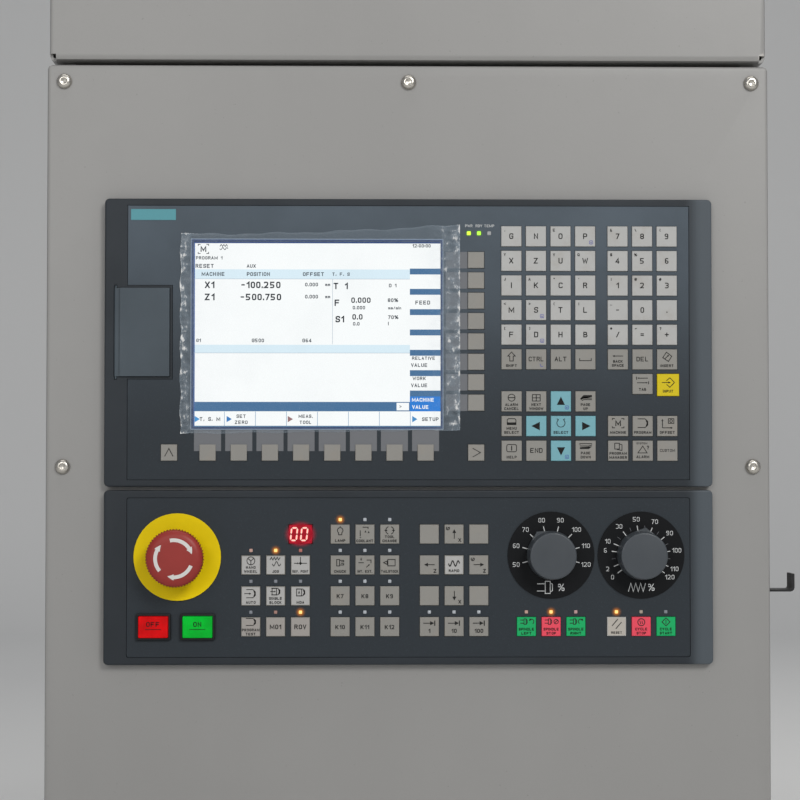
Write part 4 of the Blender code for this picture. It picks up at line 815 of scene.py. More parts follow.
class Print(Gathering):
    """Flat printed shapes that lie just in front of a surface."""

    def __init__(self, name: str, surface: float | Surface) -> None:
        """Start a print on a plane at one depth, or on a surface with a depth for each X and Z."""
        super().__init__(name)
        self.surface = surface

    def lay(self, flat: np.ndarray, faces: np.ndarray, tint: Sequence[float] | np.ndarray,
            lift: int, light: Colour) -> None:
        """Lay a flat shape on the surface, its faces turned to the operator.

        Args:
            flat: Points as X and Z.
            faces: Triangles.
            tint: Colour of the print.
            lift: Layers under it.
            light: Light that it gives.
        """
        depth = self.surface(flat[:, 0], flat[:, 1]) if callable(self.surface) else self.surface
        depths = depth - HAIR * (1 + lift) + 0 * flat[:, 0]
        points = np.column_stack([flat[:, 0], depths, flat[:, 1]])
        first, second, third = (flat[faces[:, corner]] for corner in range(3))
        side, other = second - first, third - first
        turned = side[:, 0] * other[:, 1] - side[:, 1] * other[:, 0] < 0
        faces = np.where(turned[:, None], faces[:, ::-1], faces)
        self.add(points, faces, tint, light)


@dataclass(frozen=True)
class Pen:
    """A place, size and turn at which marks go onto a print, in the pen's own units."""

    sheet: Print
    x: float
    z: float
    unit: float = MM
    turn: float = 0.0
    tint: Sequence[float] = Ink.DARK.value
    light: Colour = (0.0, 0.0, 0.0)
    lift: int = 0

    def at(self, x: float, z: float, **changes: object) -> Pen:
        """The same pen moved by some units, and changed if asked."""
        return replace(self, x=self.x + x * self.unit, z=self.z + z * self.unit, **changes)

    def lay(self, flat: np.ndarray, faces: np.ndarray) -> None:
        """Put points in place: turned clockwise about the pen, scaled by its unit and moved."""
        angle = math.radians(self.turn)
        across = flat[:, 0] * math.cos(angle) + flat[:, 1] * math.sin(angle)
        up = flat[:, 1] * math.cos(angle) - flat[:, 0] * math.sin(angle)
        placed = np.column_stack([self.x + self.unit * across, self.z + self.unit * up])
        self.sheet.lay(placed, faces, self.tint, self.lift, self.light)

    def stroke(self, points: Flat | np.ndarray, width: float, closed: bool = False) -> None:
        """Draw a line of even width through points, back to its start if closed."""
        self.lay(*ribbon(np.asarray(points, float), width, closed))

    def fill(self, points: Flat | np.ndarray) -> None:
        """Fill a convex outline with a fan from its first point."""
        outline = np.asarray(points, float)
        spokes = np.arange(1, len(outline) - 1)
        self.lay(outline, np.stack([0 * spokes, spokes, spokes + 1], -1))

    def block(self, width: float, height: float, corner: float = 0.0) -> None:
        """Fill an upright rectangle about the pen, with round corners if asked."""
        self.fill(rectangle(width, height, corner))

    def arc(self, radius: float, start: float, end: float, width: float) -> None:
        """Draw an arc about the pen from one clockwise angle to another."""
        self.stroke(arc_points(radius, start, end), width)

    def write(self, words: str, height: float, weight: float = 0.16, squeeze: float = 1.0) -> None:
        """Write words centred on the pen, with capitals of that height."""
        points, faces = LETTERING.outline(words, weight)
        self.lay((points - (0.0, 0.5)) * (height * squeeze, height), faces)


def arc_points(radius: float, start: float, end: float) -> np.ndarray:
    """Points of an arc at clockwise angles from the top, no further apart than ARC_STEP."""
    angle = np.radians(np.linspace(start, end, 2 + int(abs(end - start) / ARC_STEP)))
    return radius * np.column_stack([np.sin(angle), np.cos(angle)])


def rectangle(width: float, height: float, corner: float = 0.0) -> np.ndarray:
    """Outline of a rectangle about the origin, its corners quarter circles of that radius."""
    half = np.array([width / 2 - corner, height / 2 - corner])
    signs = np.array([(1, 1), (1, -1), (-1, -1), (-1, 1)])
    if corner <= 0:
        return signs * half
    quarter = np.radians(np.linspace(0, 90, 4))
    angles = [quarter + k * math.pi / 2 for k in range(4)]
    bends = [corner * np.column_stack([np.sin(angle), np.cos(angle)]) for angle in angles]
    return np.concatenate([sign * half + bend for sign, bend in zip(signs, bends)])


# Marks of the legends, in millimetres from the middle of their key.

@dataclass(frozen=True)
class Line:
    """A drawn line."""

    points: Flat
    closed: bool = False
    width: float = STROKE
    ink: Ink | None = None

    def draw(self, pen: Pen) -> None:
        """Draw the line."""
        dip(pen, self.ink).stroke(self.points, self.width, self.closed)


@dataclass(frozen=True)
class Fill:
    """A filled convex outline."""

    points: Flat

    def draw(self, pen: Pen) -> None:
        """Fill the outline."""
        pen.fill(self.points)


@dataclass(frozen=True)
class Arc:
    """Part of a ring between two clockwise angles."""

    x: float
    z: float
    radius: float
    start: float = 0.0
    end: float = 360.0
    width: float = STROKE

    def draw(self, pen: Pen) -> None:
        """Draw the arc."""
        pen.at(self.x, self.z).arc(self.radius, self.start, self.end, self.width)


@dataclass(frozen=True)
class Word:
    """Words about a point."""

    text: str
    x: float = 0.0
    z: float = 0.0
    height: float = 2.6
    weight: float = 0.19
    squeeze: float = 1.0
    ink: Ink | None = None

    def draw(self, pen: Pen) -> None:
        """Write the words."""
        place = dip(pen, self.ink).at(self.x, self.z)
        place.write(self.text, self.height, self.weight, self.squeeze)


Mark = Line | Fill | Arc | Word


def dip(pen: Pen, ink: Ink | None) -> Pen:
    """The pen, with another ink if one is named."""
    return pen if ink is None else replace(pen, tint=ink.value, lift=pen.lift + 1)


def dash(x: float, z: float, to_x: float, to_z: float) -> Line:
    """A straight line from one point to another."""
    return Line(((x, z), (to_x, to_z)))


def arrow(x: float, z: float, to_x: float, to_z: float, head: float = 1.5) -> tuple[Mark, ...]:
    """A straight arrow from one point to another, with a filled head of that length."""
    start, end = np.array([x, z]), np.array([to_x, to_z])
    along = (end - start) / np.linalg.norm(end - start)
    side = np.array([-along[1], along[0]]) * head * 0.5
    neck = end - along * head
    tip = Fill((tuple(end), tuple(neck + side), tuple(neck - side)))
    return Line((tuple(start), tuple(neck))), tip


def oblong(x: float, z: float, width: float, height: float, corner: float = 0.0) -> Line:
    """The outline of a rectangle about a point."""
    return Line(tuple(map(tuple, rectangle(width, height, corner) + (x, z))), True)


def foot_words(*lines: str, foot: float = -4.4, height: float = 1.85) -> tuple[Mark, ...]:
    """One or two lines of small words at the foot of a key, long ones squeezed to its width."""
    pitch, weight, letters = 2.8, 0.21, 7.4
    return tuple(Word(text, 0.0, foot + pitch * (len(lines) - 1 - place), height, weight,
                      min(1.0, letters / len(text)), Ink.DARK)
                 for place, text in enumerate(lines))


def blue_mark() -> tuple[Mark, ...]:
    """The small blue sign in the lower right corner of some keys."""
    x, z, size = 4.1, -4.2, 2.3
    edge = replace(oblong(x, z, size, size, 0.5), width=0.3, ink=Ink.BLUE)
    return edge, Word("a", x, z, 1.3, ink=Ink.BLUE)


def zigzag(x: float, z: float, pitch: float, height: float, count: int) -> Line:
    """A run of sharp waves."""
    return Line(tuple((x + (k - count / 2) * pitch, z + height * (k % 2 - 0.5))
                      for k in range(count + 1)))


def wave(x: float, z: float, pitch: float, height: float, count: int,
         width: float = STROKE) -> Line:
    """A run of round waves, height/2 times the sine of the distance along them."""
    t = np.linspace(0, count, 8 * count + 1)
    across, up = x + (t - count / 2) * pitch, z - height / 2 * np.sin(t * math.pi)
    return Line(tuple(zip(across, up)), False, width)


def open_page(z: float = 1.6, width: float = 6.2, height: float = 5.6) -> tuple[Mark, ...]:
    """A page open to the left, with a heavy bulge on its right side."""
    w, h = width / 2, height / 2
    cut, bulge, bulge_width = 0.45, 0.72, 0.9
    edge = ((-w, z + h), (w * cut, z + h), (w, z + h * cut),
            (w, z - h * cut), (w * cut, z - h), (-w, z - h))
    inner = (w * bulge, z + h * 0.7), (w * 0.95, z), (w * bulge, z - h * 0.7)
    return Line(edge), Line(inner, False, bulge_width)


def chuck(x: float, z: float, scale: float = 1.0) -> tuple[Mark, ...]:
    """The sign of a spindle: two lines that run into a chuck seen from the side."""
    def spot(u: float, v: float) -> tuple[float, float]:
        """A point of the sign in key millimetres."""
        return x + u * scale, z + v * scale
    body = (-0.6, 2.2), (1.2, 2.2), (1.2, -2.2), (-0.6, -2.2)
    jaws = (1.2, 1.6), (2.0, 1.2), (2.0, -1.2), (1.2, -1.6)
    return (*(dash(*spot(-3.6, v), *spot(-0.6, v)) for v in (1.3, -1.3)),
            Line(tuple(spot(*point) for point in body), True, 0.5),
            Line(tuple(spot(*point) for point in jaws)))


KEY_MARKS: dict[str, tuple[Mark, ...]] = {
    "shift": (Line(((0, 5.0), (2.6, 2.2), (1.2, 2.2), (1.2, -1.2), (-1.2, -1.2), (-1.2, 2.2),
            (-2.6, 2.2)), True), *foot_words("SHIFT")),
    "ctrl": (Word("CTRL", 0, 0.2, 3.2, 0.17, 0.92),
        Line(((2.6, -3.2), (3.4, -5.0), (4.6, -5.0)), False, 0.35, Ink.BLUE)),
    "alt": (Word("ALT", 0, 0.2, 3.2, 0.17),),
    "space": (Line(((-4.0, 0.8), (-4.0, -0.9), (4.0, -0.9), (4.0, 0.8)), False, 0.5),),
    "backspace": (*arrow(3.6, 2.3, -3.8, 2.3), *foot_words("BACK", "SPACE", foot=-4.2)),
    "del": (Word("DEL", 0, 0.2, 3.2, 0.17),),
    "insert": (Line(((-0.5, 5.0), (3.2, 2.2), (0.9, -1.4), (-3.0, 1.2)), True),
        *arrow(-1.6, 0.4, 1.4, 3.2, 1.3), *foot_words("INSERT")),
    "tab": (dash(-4.2, 4.4, -4.2, 2.4), *arrow(3.8, 3.4, -3.6, 3.4, 1.2), dash(4.2, 1.2, 4.2, -0.8),
        *arrow(-3.8, 0.2, 3.6, 0.2, 1.2), *foot_words("TAB")),
    "input": (Line(((-1.1, 2.9), (1.2, 5.0), (4.4, 1.7), (1.2, -1.6), (-1.1, 0.5)), False, 0.5),
        *arrow(-4.4, 1.7, 1.8, 1.7, 1.6), *foot_words("INPUT", foot=-4.3)),
    "alarm_cancel": (Arc(0, 3.2, 2.4), Line(((-2.4, 3.2), (2.4, 3.2)), False, 0.6),
        *foot_words("ALARM", "CANCEL")),
    "next_window": (oblong(0, 3.1, 5.4, 4.4), dash(-2.7, 3.1, 2.7, 3.1), dash(0, 5.3, 0, 0.9),
        *foot_words("NEXT", "WINDOW")),
    "up": (Fill(((0, 3.3), (-2.8, -2.4), (2.8, -2.4))), *blue_mark()),
    "down": (Fill(((0, -3.3), (-2.8, 2.4), (2.8, 2.4))), *blue_mark()),
    "left": (Fill(((-3.4, 0), (2.4, -2.9), (2.4, 2.9))),),
    "right": (Fill(((3.4, 0), (-2.4, -2.9), (-2.4, 2.9))),),
    "page_up": (Fill(((-4.0, 2.2), (-1.4, 5.0), (4.4, 5.0), (4.4, 3.7), (-1.6, 3.7))),
        Line(((-3.4, 1.9), (-1.5, 2.9), (4.4, 2.9))), Line(((-2.6, 1.2), (-1.3, 1.9), (4.4, 1.9))),
        *foot_words("PAGE", "UP")),
    "page_down": (Fill(((4.4, 3.0), (2.2, 1.2), (-4.0, 1.2), (-4.0, 2.4), (2.0, 2.4))),
        Line(((4.4, 4.0), (2.2, 3.3), (-4.0, 3.3))), Line(((4.4, 4.9), (-4.0, 4.9), (-4.0, 4.2))),
        *foot_words("PAGE", "DOWN")),
    "menu_select": (Line(((-3.0, 1.0), (-3.0, 4.2), (-2.2, 5.1), (2.2, 5.1), (3.0, 4.2),
            (3.0, 1.0)), True), Fill(((-3.0, 1.0), (3.0, 1.0), (3.0, 2.5), (-3.0, 2.5))),
        *foot_words("MENU", "SELECT")),
    "select": (Arc(0, 2.1, 2.8, 35, 325, 0.5), dash(-1.6, 4.4, -2.8, 5.0), dash(1.6, 4.4, 2.8, 5.0),
        *foot_words("SELECT")),
    "help": (oblong(0, 1.8, 6.8, 5.0, 1.2), Word("i", 0, 1.8, 3.4, 0.2), *foot_words("HELP")),
    "end": (Word("END", 0, 0.2, 3.3, 0.17),),
    "machine": (Line(((-2.2, 5.2), (-4.0, 5.2), (-4.0, 4.2))),
        Line(((2.2, 5.2), (4.0, 5.2), (4.0, 4.2))),
        Line(((-2.2, -1.2), (-4.0, -1.2), (-4.0, -0.2))),
        Line(((2.2, -1.2), (4.0, -1.2), (4.0, -0.2))), Word("M", 0, 2.0, 3.9),
        *foot_words("MACHINE")),
    "program": (*open_page(2.0, 7.0, 6.0), *foot_words("PROGRAM")),
    "offset": (*arrow(-3.4, -1.2, -3.4, 5.0), *arrow(-3.4, -1.2, 3.8, -1.2),
        oblong(2.6, 3.5, 3.8, 3.2), Arc(2.6, 3.5, 0.9), *foot_words("OFFSET")),
    "program_manager": (oblong(-0.8, 3.2, 3.2, 4.0),
        Line(((-1.0, 0.9), (2.6, 0.2), (2.6, 4.2), (1.0, 4.6))),
        *foot_words("PROGRAM", "MANAGER", foot=-4.6)),
    "alarm": (Word("SYSTEM", -0.6, 5.1, 1.3),
        Line(((-3.4, -1.5), (3.0, -1.5), (0, 3.2)), True, 0.5), Word("?", 3.6, 2.2, 2.6),
        *foot_words("ALARM", foot=-4.2)),
    "custom": (Word("CUSTOM", 0, 0.2, 1.9, 0.17),),
    "recall": (Line(((-2.9, -2.6), (0, 2.8), (2.9, -2.6))),),
    "further": (Line(((-2.4, 3.0), (3.0, 0), (-2.4, -3.0))),),
    "handwheel": (Arc(0, 2.9, 2.7, width=0.5), dash(0, 2.9, 0, 0.3), dash(0, 2.9, -2.1, 4.6),
        dash(0, 2.9, 2.1, 4.6), *foot_words("HAND", "WHEEL")),
    "jog": (zigzag(-0.4, 4.4, 1.0, 1.8, 7), wave(0.6, 0.9, 1.9, 3.0, 3), *foot_words("JOG")),
    "reference": (dash(0, 5.6, 0, 1.2), *arrow(-4.4, 1.2, -0.9, 1.2, 1.4), dash(0.9, 1.2, 4.4, 1.2),
        Fill(((1.2, 1.2), (0, 2.4), (-1.2, 1.2), (0, 0))), *foot_words("REF. POINT")),
    "auto": (*open_page(1.6), *arrow(-4.4, 1.6, 0.4, 1.6), *foot_words("AUTO")),
    "single_block": (*open_page(3.0, 6.0, 4.6), oblong(-0.9, 3.0, 3.0, 4.4),
        *arrow(-3.6, 3.0, 0.2, 3.0, 1.2), *foot_words("SINGLE", "BLOCK", foot=-4.5)),
    "manual_data": (*open_page(2.4, 6.0, 4.8), oblong(-0.9, 2.4, 3.4, 4.6),
        Word("A", -0.9, 2.4, 2.0), *foot_words("MDA")),
    "program_test": (*open_page(3.4, 6.6, 4.8), *foot_words("PROGRAM", "TEST", foot=-4.9)),
    "optional_stop": (Word("M01", 0, 0, 3.2),),
    "rapid_override": (Word("ROV", 0, 0, 3.2),),
    "lamp": (Arc(0, 2.6, 1.9, -140, 140),
        Line(((-1.1, 1.2), (-1.1, -0.4), (1.1, -0.4), (1.1, 1.2))), dash(0, 5.6, 0, 5.0),
        *foot_words("LAMP")),
    "coolant": (dash(-3.2, -1.4, -3.2, 2.6), Line(((-1.6, 4.8), (2.2, 4.8), (2.2, 3.6))),
        Fill(((0.4, 2.6), (-0.3, 1.2), (1.1, 1.2))), Fill(((2.6, 2.2), (1.9, 0.8), (3.3, 0.8))),
        Fill(((-3.2, -1.8), (-3.8, -2.6), (-2.6, -2.6))), *foot_words("COOLANT", foot=-4.6)),
    "tool_change": (Arc(0, 2.6, 2.7, 20, 160), Arc(0, 2.6, 2.7, 200, 340),
        *arrow(-3.6, 2.6, -1.4, 2.6, 1.2), *arrow(3.6, 2.6, 1.4, 2.6, 1.2),
        *foot_words("TOOL", "CHANGE", foot=-4.6)),
    "chuck_jaws": (oblong(-1.4, 1.6, 2.0, 4.4),
        Line(((-0.4, 3.2), (2.4, 3.2), (2.4, 2.2), (0.6, 2.2))),
        Line(((-0.4, 0.0), (2.4, 0.0), (2.4, 1.0), (0.6, 1.0))), *foot_words("CHUCK")),
    "inside_outside": (*arrow(-2.6, 5.0, -2.6, 2.8, 1.2), dash(-4.4, 1.6, -0.8, 1.6),
        *arrow(1.0, -1.6, 3.4, 0.6, 1.2), Line(((1.2, 3.4), (4.2, 3.4), (4.2, 1.2))),
        *foot_words("INT. EXT.")),
    "tailstock": (Line(((-4.2, 1.6), (-1.8, 2.8), (-1.8, 0.4)), True), oblong(1.2, 1.6, 5.0, 4.4),
        *foot_words("TAILSTOCK")),
    "x_back": (*arrow(0.2, -3.2, 0.2, 3.4, 2.6), Word("X", 4.0, -4.1, 2.6),
        Arc(-4.2, 4.0, 1.1, 30, 330), dash(-4.9, 3.2, -3.5, 4.8)),
    "x_front": (*arrow(0.2, 3.4, 0.2, -3.2, 2.6), Word("X", 4.0, -4.1, 2.6)),
    "z_left": (*arrow(3.6, 0.2, -3.6, 0.2, 2.6), Word("Z", 4.0, -4.1, 2.6)),
    "z_right": (*arrow(-3.6, 0.2, 3.6, 0.2, 2.6), Word("Z", 4.0, -4.1, 2.6),
        Arc(-4.2, 4.0, 1.1, 30, 330), dash(-4.9, 3.2, -3.5, 4.8)),
    "rapid": (wave(0, 1.0, 1.9, 3.8, 4, 0.75), *foot_words("RAPID", foot=-4.0)),
    "spindle_left": (*chuck(-1.2, 3.4, 0.85), Arc(3.4, 3.4, 1.7, -60, 150),
        Line(((1.9, 4.2), (3.0, 4.6), (2.2, 5.4))), *foot_words("SPINDLE", "LEFT", foot=-4.6)),
    "spindle_stop": (*chuck(-1.4, 3.4, 0.85), Arc(3.4, 3.4, 1.5), dash(2.4, 2.4, 4.4, 4.4),
        *foot_words("SPINDLE", "STOP", foot=-4.6)),
    "spindle_right": (*chuck(-1.2, 3.4, 0.85), Arc(3.4, 3.4, 1.7, -150, 60),
        Line(((4.9, 4.2), (3.8, 4.6), (4.6, 5.4))), *foot_words("SPINDLE", "RIGHT", foot=-4.6)),
    "reset": (Line(((-3.2, 0.4), (0.8, 5.0)), False, 0.6),
        Line(((-0.6, -1.6), (3.4, 3.0)), False, 0.6), *foot_words("RESET", foot=-4.2, height=1.6)),
    "cycle_stop": (Arc(0, 2.9, 2.4, width=0.6), Line(((-1.0, 4.0), (-0.4, 1.6)), False, 0.5),
        Line(((0.4, 4.0), (1.0, 1.6)), False, 0.5), *foot_words("CYCLE", "STOP", foot=-4.6)),
    "cycle_start": (Line(((0, 5.8), (2.8, 3.1), (0, 0.4), (-2.8, 3.1)), True, 0.55),
        Line(((0, 4.6), (0, 1.6)), False, 0.5), *foot_words("CYCLE", "START", foot=-4.6)),
    **{f"k{number}": (Word(f"K{number}", 0, -0.2, 2.9),) for number in range(7, 13)},
    **{f"step_{number}": (*arrow(-4.2, 2.4, 3.3, 2.4, 2.8),
                          Line(((3.7, 4.2), (3.7, 0.6)), False, 0.7),
                          Word(str(number), 0, -2.9, 2.8)) for number in (1, 10, 100)},
}


# Key fields read from the frame.

def box_middle(node: str) -> tuple[float, float]:
    """The X and Z of the middle of a node's box."""
    low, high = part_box(node)
    return (low.x + high.x) / 2, (low.z + high.z) / 2


def box_front(node: str) -> float:
    """The depth of a node's front."""
    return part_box(node)[0].y


@dataclass
class KeyField:
    """The key caps of one mat: their rows and columns are read from the fronts of its caps."""

    node: str
    columns: np.ndarray = field(init=False)
    rows: np.ndarray = field(init=False)
    front: float = field(init=False)

    def __post_init__(self) -> None:
        """Find the caps' middles between each pair of edges on the front plane."""
        mesh = frame["nodes"][self.node].data
        points = np.zeros(len(mesh.vertices) * 3, np.float32)
        mesh.vertices.foreach_get("co", points)
        points = points.reshape(-1, 3).astype(float)
        self.front = float(points[:, 1].min())
        face = points[points[:, 1] < self.front + HAIR]
        edges = [np.unique(np.round(face[:, axis], 4)) for axis in (0, 2)]
        self.columns = edges[0].reshape(-1, 2).mean(1)
        self.rows = edges[1].reshape(-1, 2).mean(1)[::-1]

    def pen(self, sheet: Print, row: int, column: int) -> Pen:
        """A pen at the middle of one cap, rows counted from the top."""
        return Pen(sheet, float(self.columns[column]), float(self.rows[row]))


def draw_marks(pen: Pen, label: str) -> None:
    """Draw all marks of a named legend."""
    for mark in KEY_MARKS[label]:
        mark.draw(pen)


def label_keys(sheet: Print, keys: KeyField, legends: Legends,
               draw: Callable[[Pen, str], None] = draw_marks) -> None:
    """Draw a legend on each key that has one, in rows from the top."""
    for row, labels in enumerate(legends):
        for column, label in enumerate(labels):
            if label:
                draw(keys.pen(sheet, row, column), label)


INK_FINISH = Painted("printed_ink", srgb(120, 120, 118), 0.55)
GLOW_FINISH = Painted("lit_print", (0.0, 0.0, 0.0), 0.35, True)
LAMP_FINISH = Painted("lamp_lens", srgb(150, 150, 150), 0.3, coat=0.4)


# The station.

class Cad:
    """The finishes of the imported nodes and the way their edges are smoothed."""

    crease_degrees: float = 42.0
    weld_distance: float = 2e-6
    faces_of_a_box: int = 12

    def __init__(self, hood_corners: tuple[Spot, ...]) -> None:
        """Name the finish of each of the record's material slots."""
        slate = srgb(43, 48, 53)
        station_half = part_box("display_frame")[1].x
        strip = station_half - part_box("display_faceplate")[1].x
        flap = Moulded("flap_moulding", srgb(72, 81, 88), 0.45)
        self.own: dict[str, Finish] = {"usb_flap": flap}
        self.finishes: dict[str, Finish] = {
            "grey_paint": Enamel("grey_enamel", srgb(145, 144, 142), 0.42,
                                 ground_spots=hood_corners),
            "black_steel": Steel("black_hook_steel", srgb(34, 34, 35), 0.42, metallic=0.35),
            "stainless": Steel("stainless_steel", srgb(200, 197, 190), 0.30, (1.0, 1.0, 1.0)),
            # The frame's right side strip gets a painted sheen band.
            "slate_frame": Moulded("slate_frame_moulding", slate, 0.45,
                                   band=(station_half - 1.2 * strip, station_half - 0.4 * strip),
                                   band_colour=srgb(79, 86, 92)),
            # The key plate is painted darker towards its foot, a painted reflection of the dark
            # below.
            "slate_plate": Moulded("slate_key_plate", srgb(78, 88, 97), 0.5,
                                   rise=(0.29, 0.47), foot_gain=0.32),
            "key_light": KeyCap("light_key_caps", srgb(174, 174, 172), 0.5),
            "key_grey": KeyCap("grey_key_caps", srgb(139, 137, 132), 0.5),
            "key_cyan": KeyCap("cyan_key_caps", srgb(115, 168, 178), 0.5, srgb(110, 150, 160)),
            "key_yellow": KeyCap("yellow_key_cap", srgb(208, 186, 0), 0.5,
                                 srgb(196, 170, 0), 0.15),
            "key_green": KeyCap("green_key_caps", srgb(2, 170, 96), 0.5, srgb(14, 146, 86)),
            "key_red": KeyCap("red_key_caps", srgb(234, 74, 94), 0.5, srgb(206, 70, 84)),
            "screen_glass": Moulded("screen_border_glass", srgb(58, 70, 86), 0.25,
                                    900.0, 0.002 * MM, dust=0.04),
            "board_green": Board("solder_mask", srgb(22, 84, 48), 0.4),
            "zinc_sheet": Steel("zinc_plated_sheet", srgb(170, 172, 174), 0.38, (1.0, 1.0, 0.05)),
            "port_black": Moulded("black_moulding", srgb(28, 28, 30), 0.45),
            "stop_yellow": Moulded("yellow_disc", srgb(234, 204, 0), 0.42,
                                   1200.0, 0.006 * MM, dust=0.02, shine=0.12),
            "dial_black": Moulded("black_dial", srgb(11, 13, 16), 0.42,
                                  1800.0, 0.006 * MM, dust=0.02, shine=0.15),
            "segment_red": Moulded("dark_red_window", srgb(70, 14, 20), 0.2,
                                   900.0, 0.002 * MM, dust=0.02),
            # Both lenses get a faint painted glow; no lamp stands behind them.
            "lens_red": Lens("red_lens", srgb(196, 6, 12), 0.22, glow=(0.12, 0.0, 0.0)),
            "lens_green": Lens("green_lens", srgb(0, 168, 40), 0.22, glow=(0.0, 0.13, 0.012)),
        }

    def softener(self) -> bpy.types.NodeTree:
        """Build the modifier that joins a node's loose triangles and smooths its shallow edges."""
        group = bpy.data.node_groups.new("soften", "GeometryNodeTree")
        group.interface.new_socket("Geometry", in_out="INPUT", socket_type="NodeSocketGeometry")
        group.interface.new_socket("Geometry", in_out="OUTPUT", socket_type="NodeSocketGeometry")
        kinds = ("NodeGroupInput", "GeometryNodeRemoveAttribute", "GeometryNodeMergeByDistance",
                 "GeometryNodeSetShadeSmooth", "GeometryNodeSetShadeSmooth", "NodeGroupOutput")
        chain = [group.nodes.new(kind) for kind in kinds]
        for before, after in zip(chain, chain[1:]):
            group.links.new(before.outputs[0], after.inputs[0])
        _, forget, merge, smooth, keep_sharp, _ = chain
        forget.inputs["Name"].default_value = "custom_normal"
        merge.inputs["Distance"].default_value = self.weld_distance
        smooth.domain, smooth.inputs["Shade Smooth"].default_value = "FACE", True
        keep_sharp.domain = "EDGE"
        edge = group.nodes.new("GeometryNodeInputMeshEdgeAngle")
        steep = group.nodes.new("ShaderNodeMath")
        steep.operation = "LESS_THAN"
        steep.inputs[1].default_value = math.radians(self.crease_degrees)
        group.links.new(edge.outputs["Unsigned Angle"], steep.inputs[0])
        group.links.new(steep.outputs[0], keep_sharp.inputs["Shade Smooth"])
        return group

    def dress(self) -> None:
        """Give every shown node its finish and smooth edges."""
        soften = self.softener()
        for node in frame["nodes"].values():
            slot = node.material_slots[0]
            finish = self.own.get(node.name, self.finishes.get(slot.material.name))
            if finish is not None:
                slot.material = finish.material()
            modifier = node.modifiers.new("soften", "NODES")
            modifier.node_group = soften
            if len(node.data.polygons) > self.faces_of_a_box:
                normals = node.modifiers.new("even_normals", "WEIGHTED_NORMAL")
                normals.keep_sharp = True
        LOG.info("%d nodes dressed", len(frame["nodes"]))


@dataclass
class Screws:
    """Button-head screws with a hexagon socket and a rolled thread, in place of their nodes."""

    count: int = 8
    socket: float = 4.0 * MM
    socket_depth: float = 2.0 * MM
    head_height: float = 3.3 * MM
    shank_radius: float = 3.0 * MM
    thread_pitch: float = 1.0 * MM
    thread_depth: float = 0.45 * MM
    thread_inset: float = 0.8 * MM
    crown_edge: float = 0.7 * MM
    seat_edge: float = 0.35 * MM
    tip_edge: float = 0.7 * MM
    point_depth: float = 0.5 * MM
    lead_in: float = 0.25 * MM
    turn_apart: float = 11.0
    sides: int = 48
    finish: Finish = Steel("screw_steel", srgb(196, 192, 184), 0.26, (1.0, 1.0, 1.0))

    def profile(self, front: float, back: float, radius: float) -> np.ndarray:
        """The screw's half section from the socket's floor over the head to the tip.

        Args:
            front: Depth of the head's front.
            back: Depth of the tip.
            radius: Radius of the head.

        Returns:
            Rows of radius and depth.
        """
        seat = front + self.head_height
        hexagon = self.socket / 2
        dome = np.radians(np.linspace(4, 78, 9))
        rim = hexagon * 1.28
        crown = self.head_height - self.crown_edge
        head = np.column_stack([rim + (radius - rim) * np.sin(dome) / math.sin(dome[-1]),
                                front + crown * (1 - np.cos(dome)) / (1 - math.cos(dome[-1]))])
        turns = np.arange(seat + self.thread_inset, back - self.thread_inset, self.thread_pitch / 4)
        shank = np.column_stack([np.full(len(turns), self.shank_radius), turns])
        floor = front + self.socket_depth
        socket = [(NEAR_AXIS, floor + self.point_depth), (hexagon * 0.99, floor),
                  (hexagon, front + self.lead_in), (hexagon * 1.16, front)]
        shoulder = [(radius, seat - self.seat_edge), (radius - self.seat_edge, seat),
                    (self.shank_radius, seat)]
        tip = [(self.shank_radius, back - self.tip_edge), (self.shank_radius - self.tip_edge, back),
               (NEAR_AXIS, back)]
        return np.concatenate([socket, head, shoulder, shank, tip])

    def rule(self, seat: float) -> RadiusRule:
        """Six flats inside the socket and a helix on the shank.

        A flat at half width a lies at a / cos(angle from its middle). The thread lowers the
        radius by its depth times a triangle wave of depth over pitch plus angle over one turn.
        """
        def radii(radius: np.ndarray, depth: np.ndarray, angle: np.ndarray) -> np.ndarray:
            """Radius for each row and angle."""
            flat = radius / np.cos((angle + math.pi / 6) % (math.pi / 3) - math.pi / 6)
            inside = (radius <= self.socket / 2) & (radius > 0.5 * MM) & (depth < seat - 0.2 * MM)
            winding = 2 * np.abs((depth / self.thread_pitch + angle / (2 * math.pi)) % 1.0 - 0.5)
            threaded = (depth > seat + 0.5 * MM) & (radius > 0.9 * self.shank_radius)
            cut = threaded * self.thread_depth * winding
            return np.where(inside, flat, radius + 0 * angle) - cut
        return radii

    def build(self) -> None:
        """Build each screw in the place of its node."""
        for number in range(1, self.count + 1):
            node = f"cover_screw_{number}"
            low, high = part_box(node)
            profile = self.profile(low.y, high.y, (high.x - low.x) / 2)
            rule = self.rule(low.y + self.head_height)
            points, faces = turn(profile, box_middle(node), self.sides, rule,
                                 math.radians(self.turn_apart * number))
            present(make_mesh(f"hexagon_screw_{number}", points, faces), self.finish,
                    sharp=38.0, stands_for=[node])


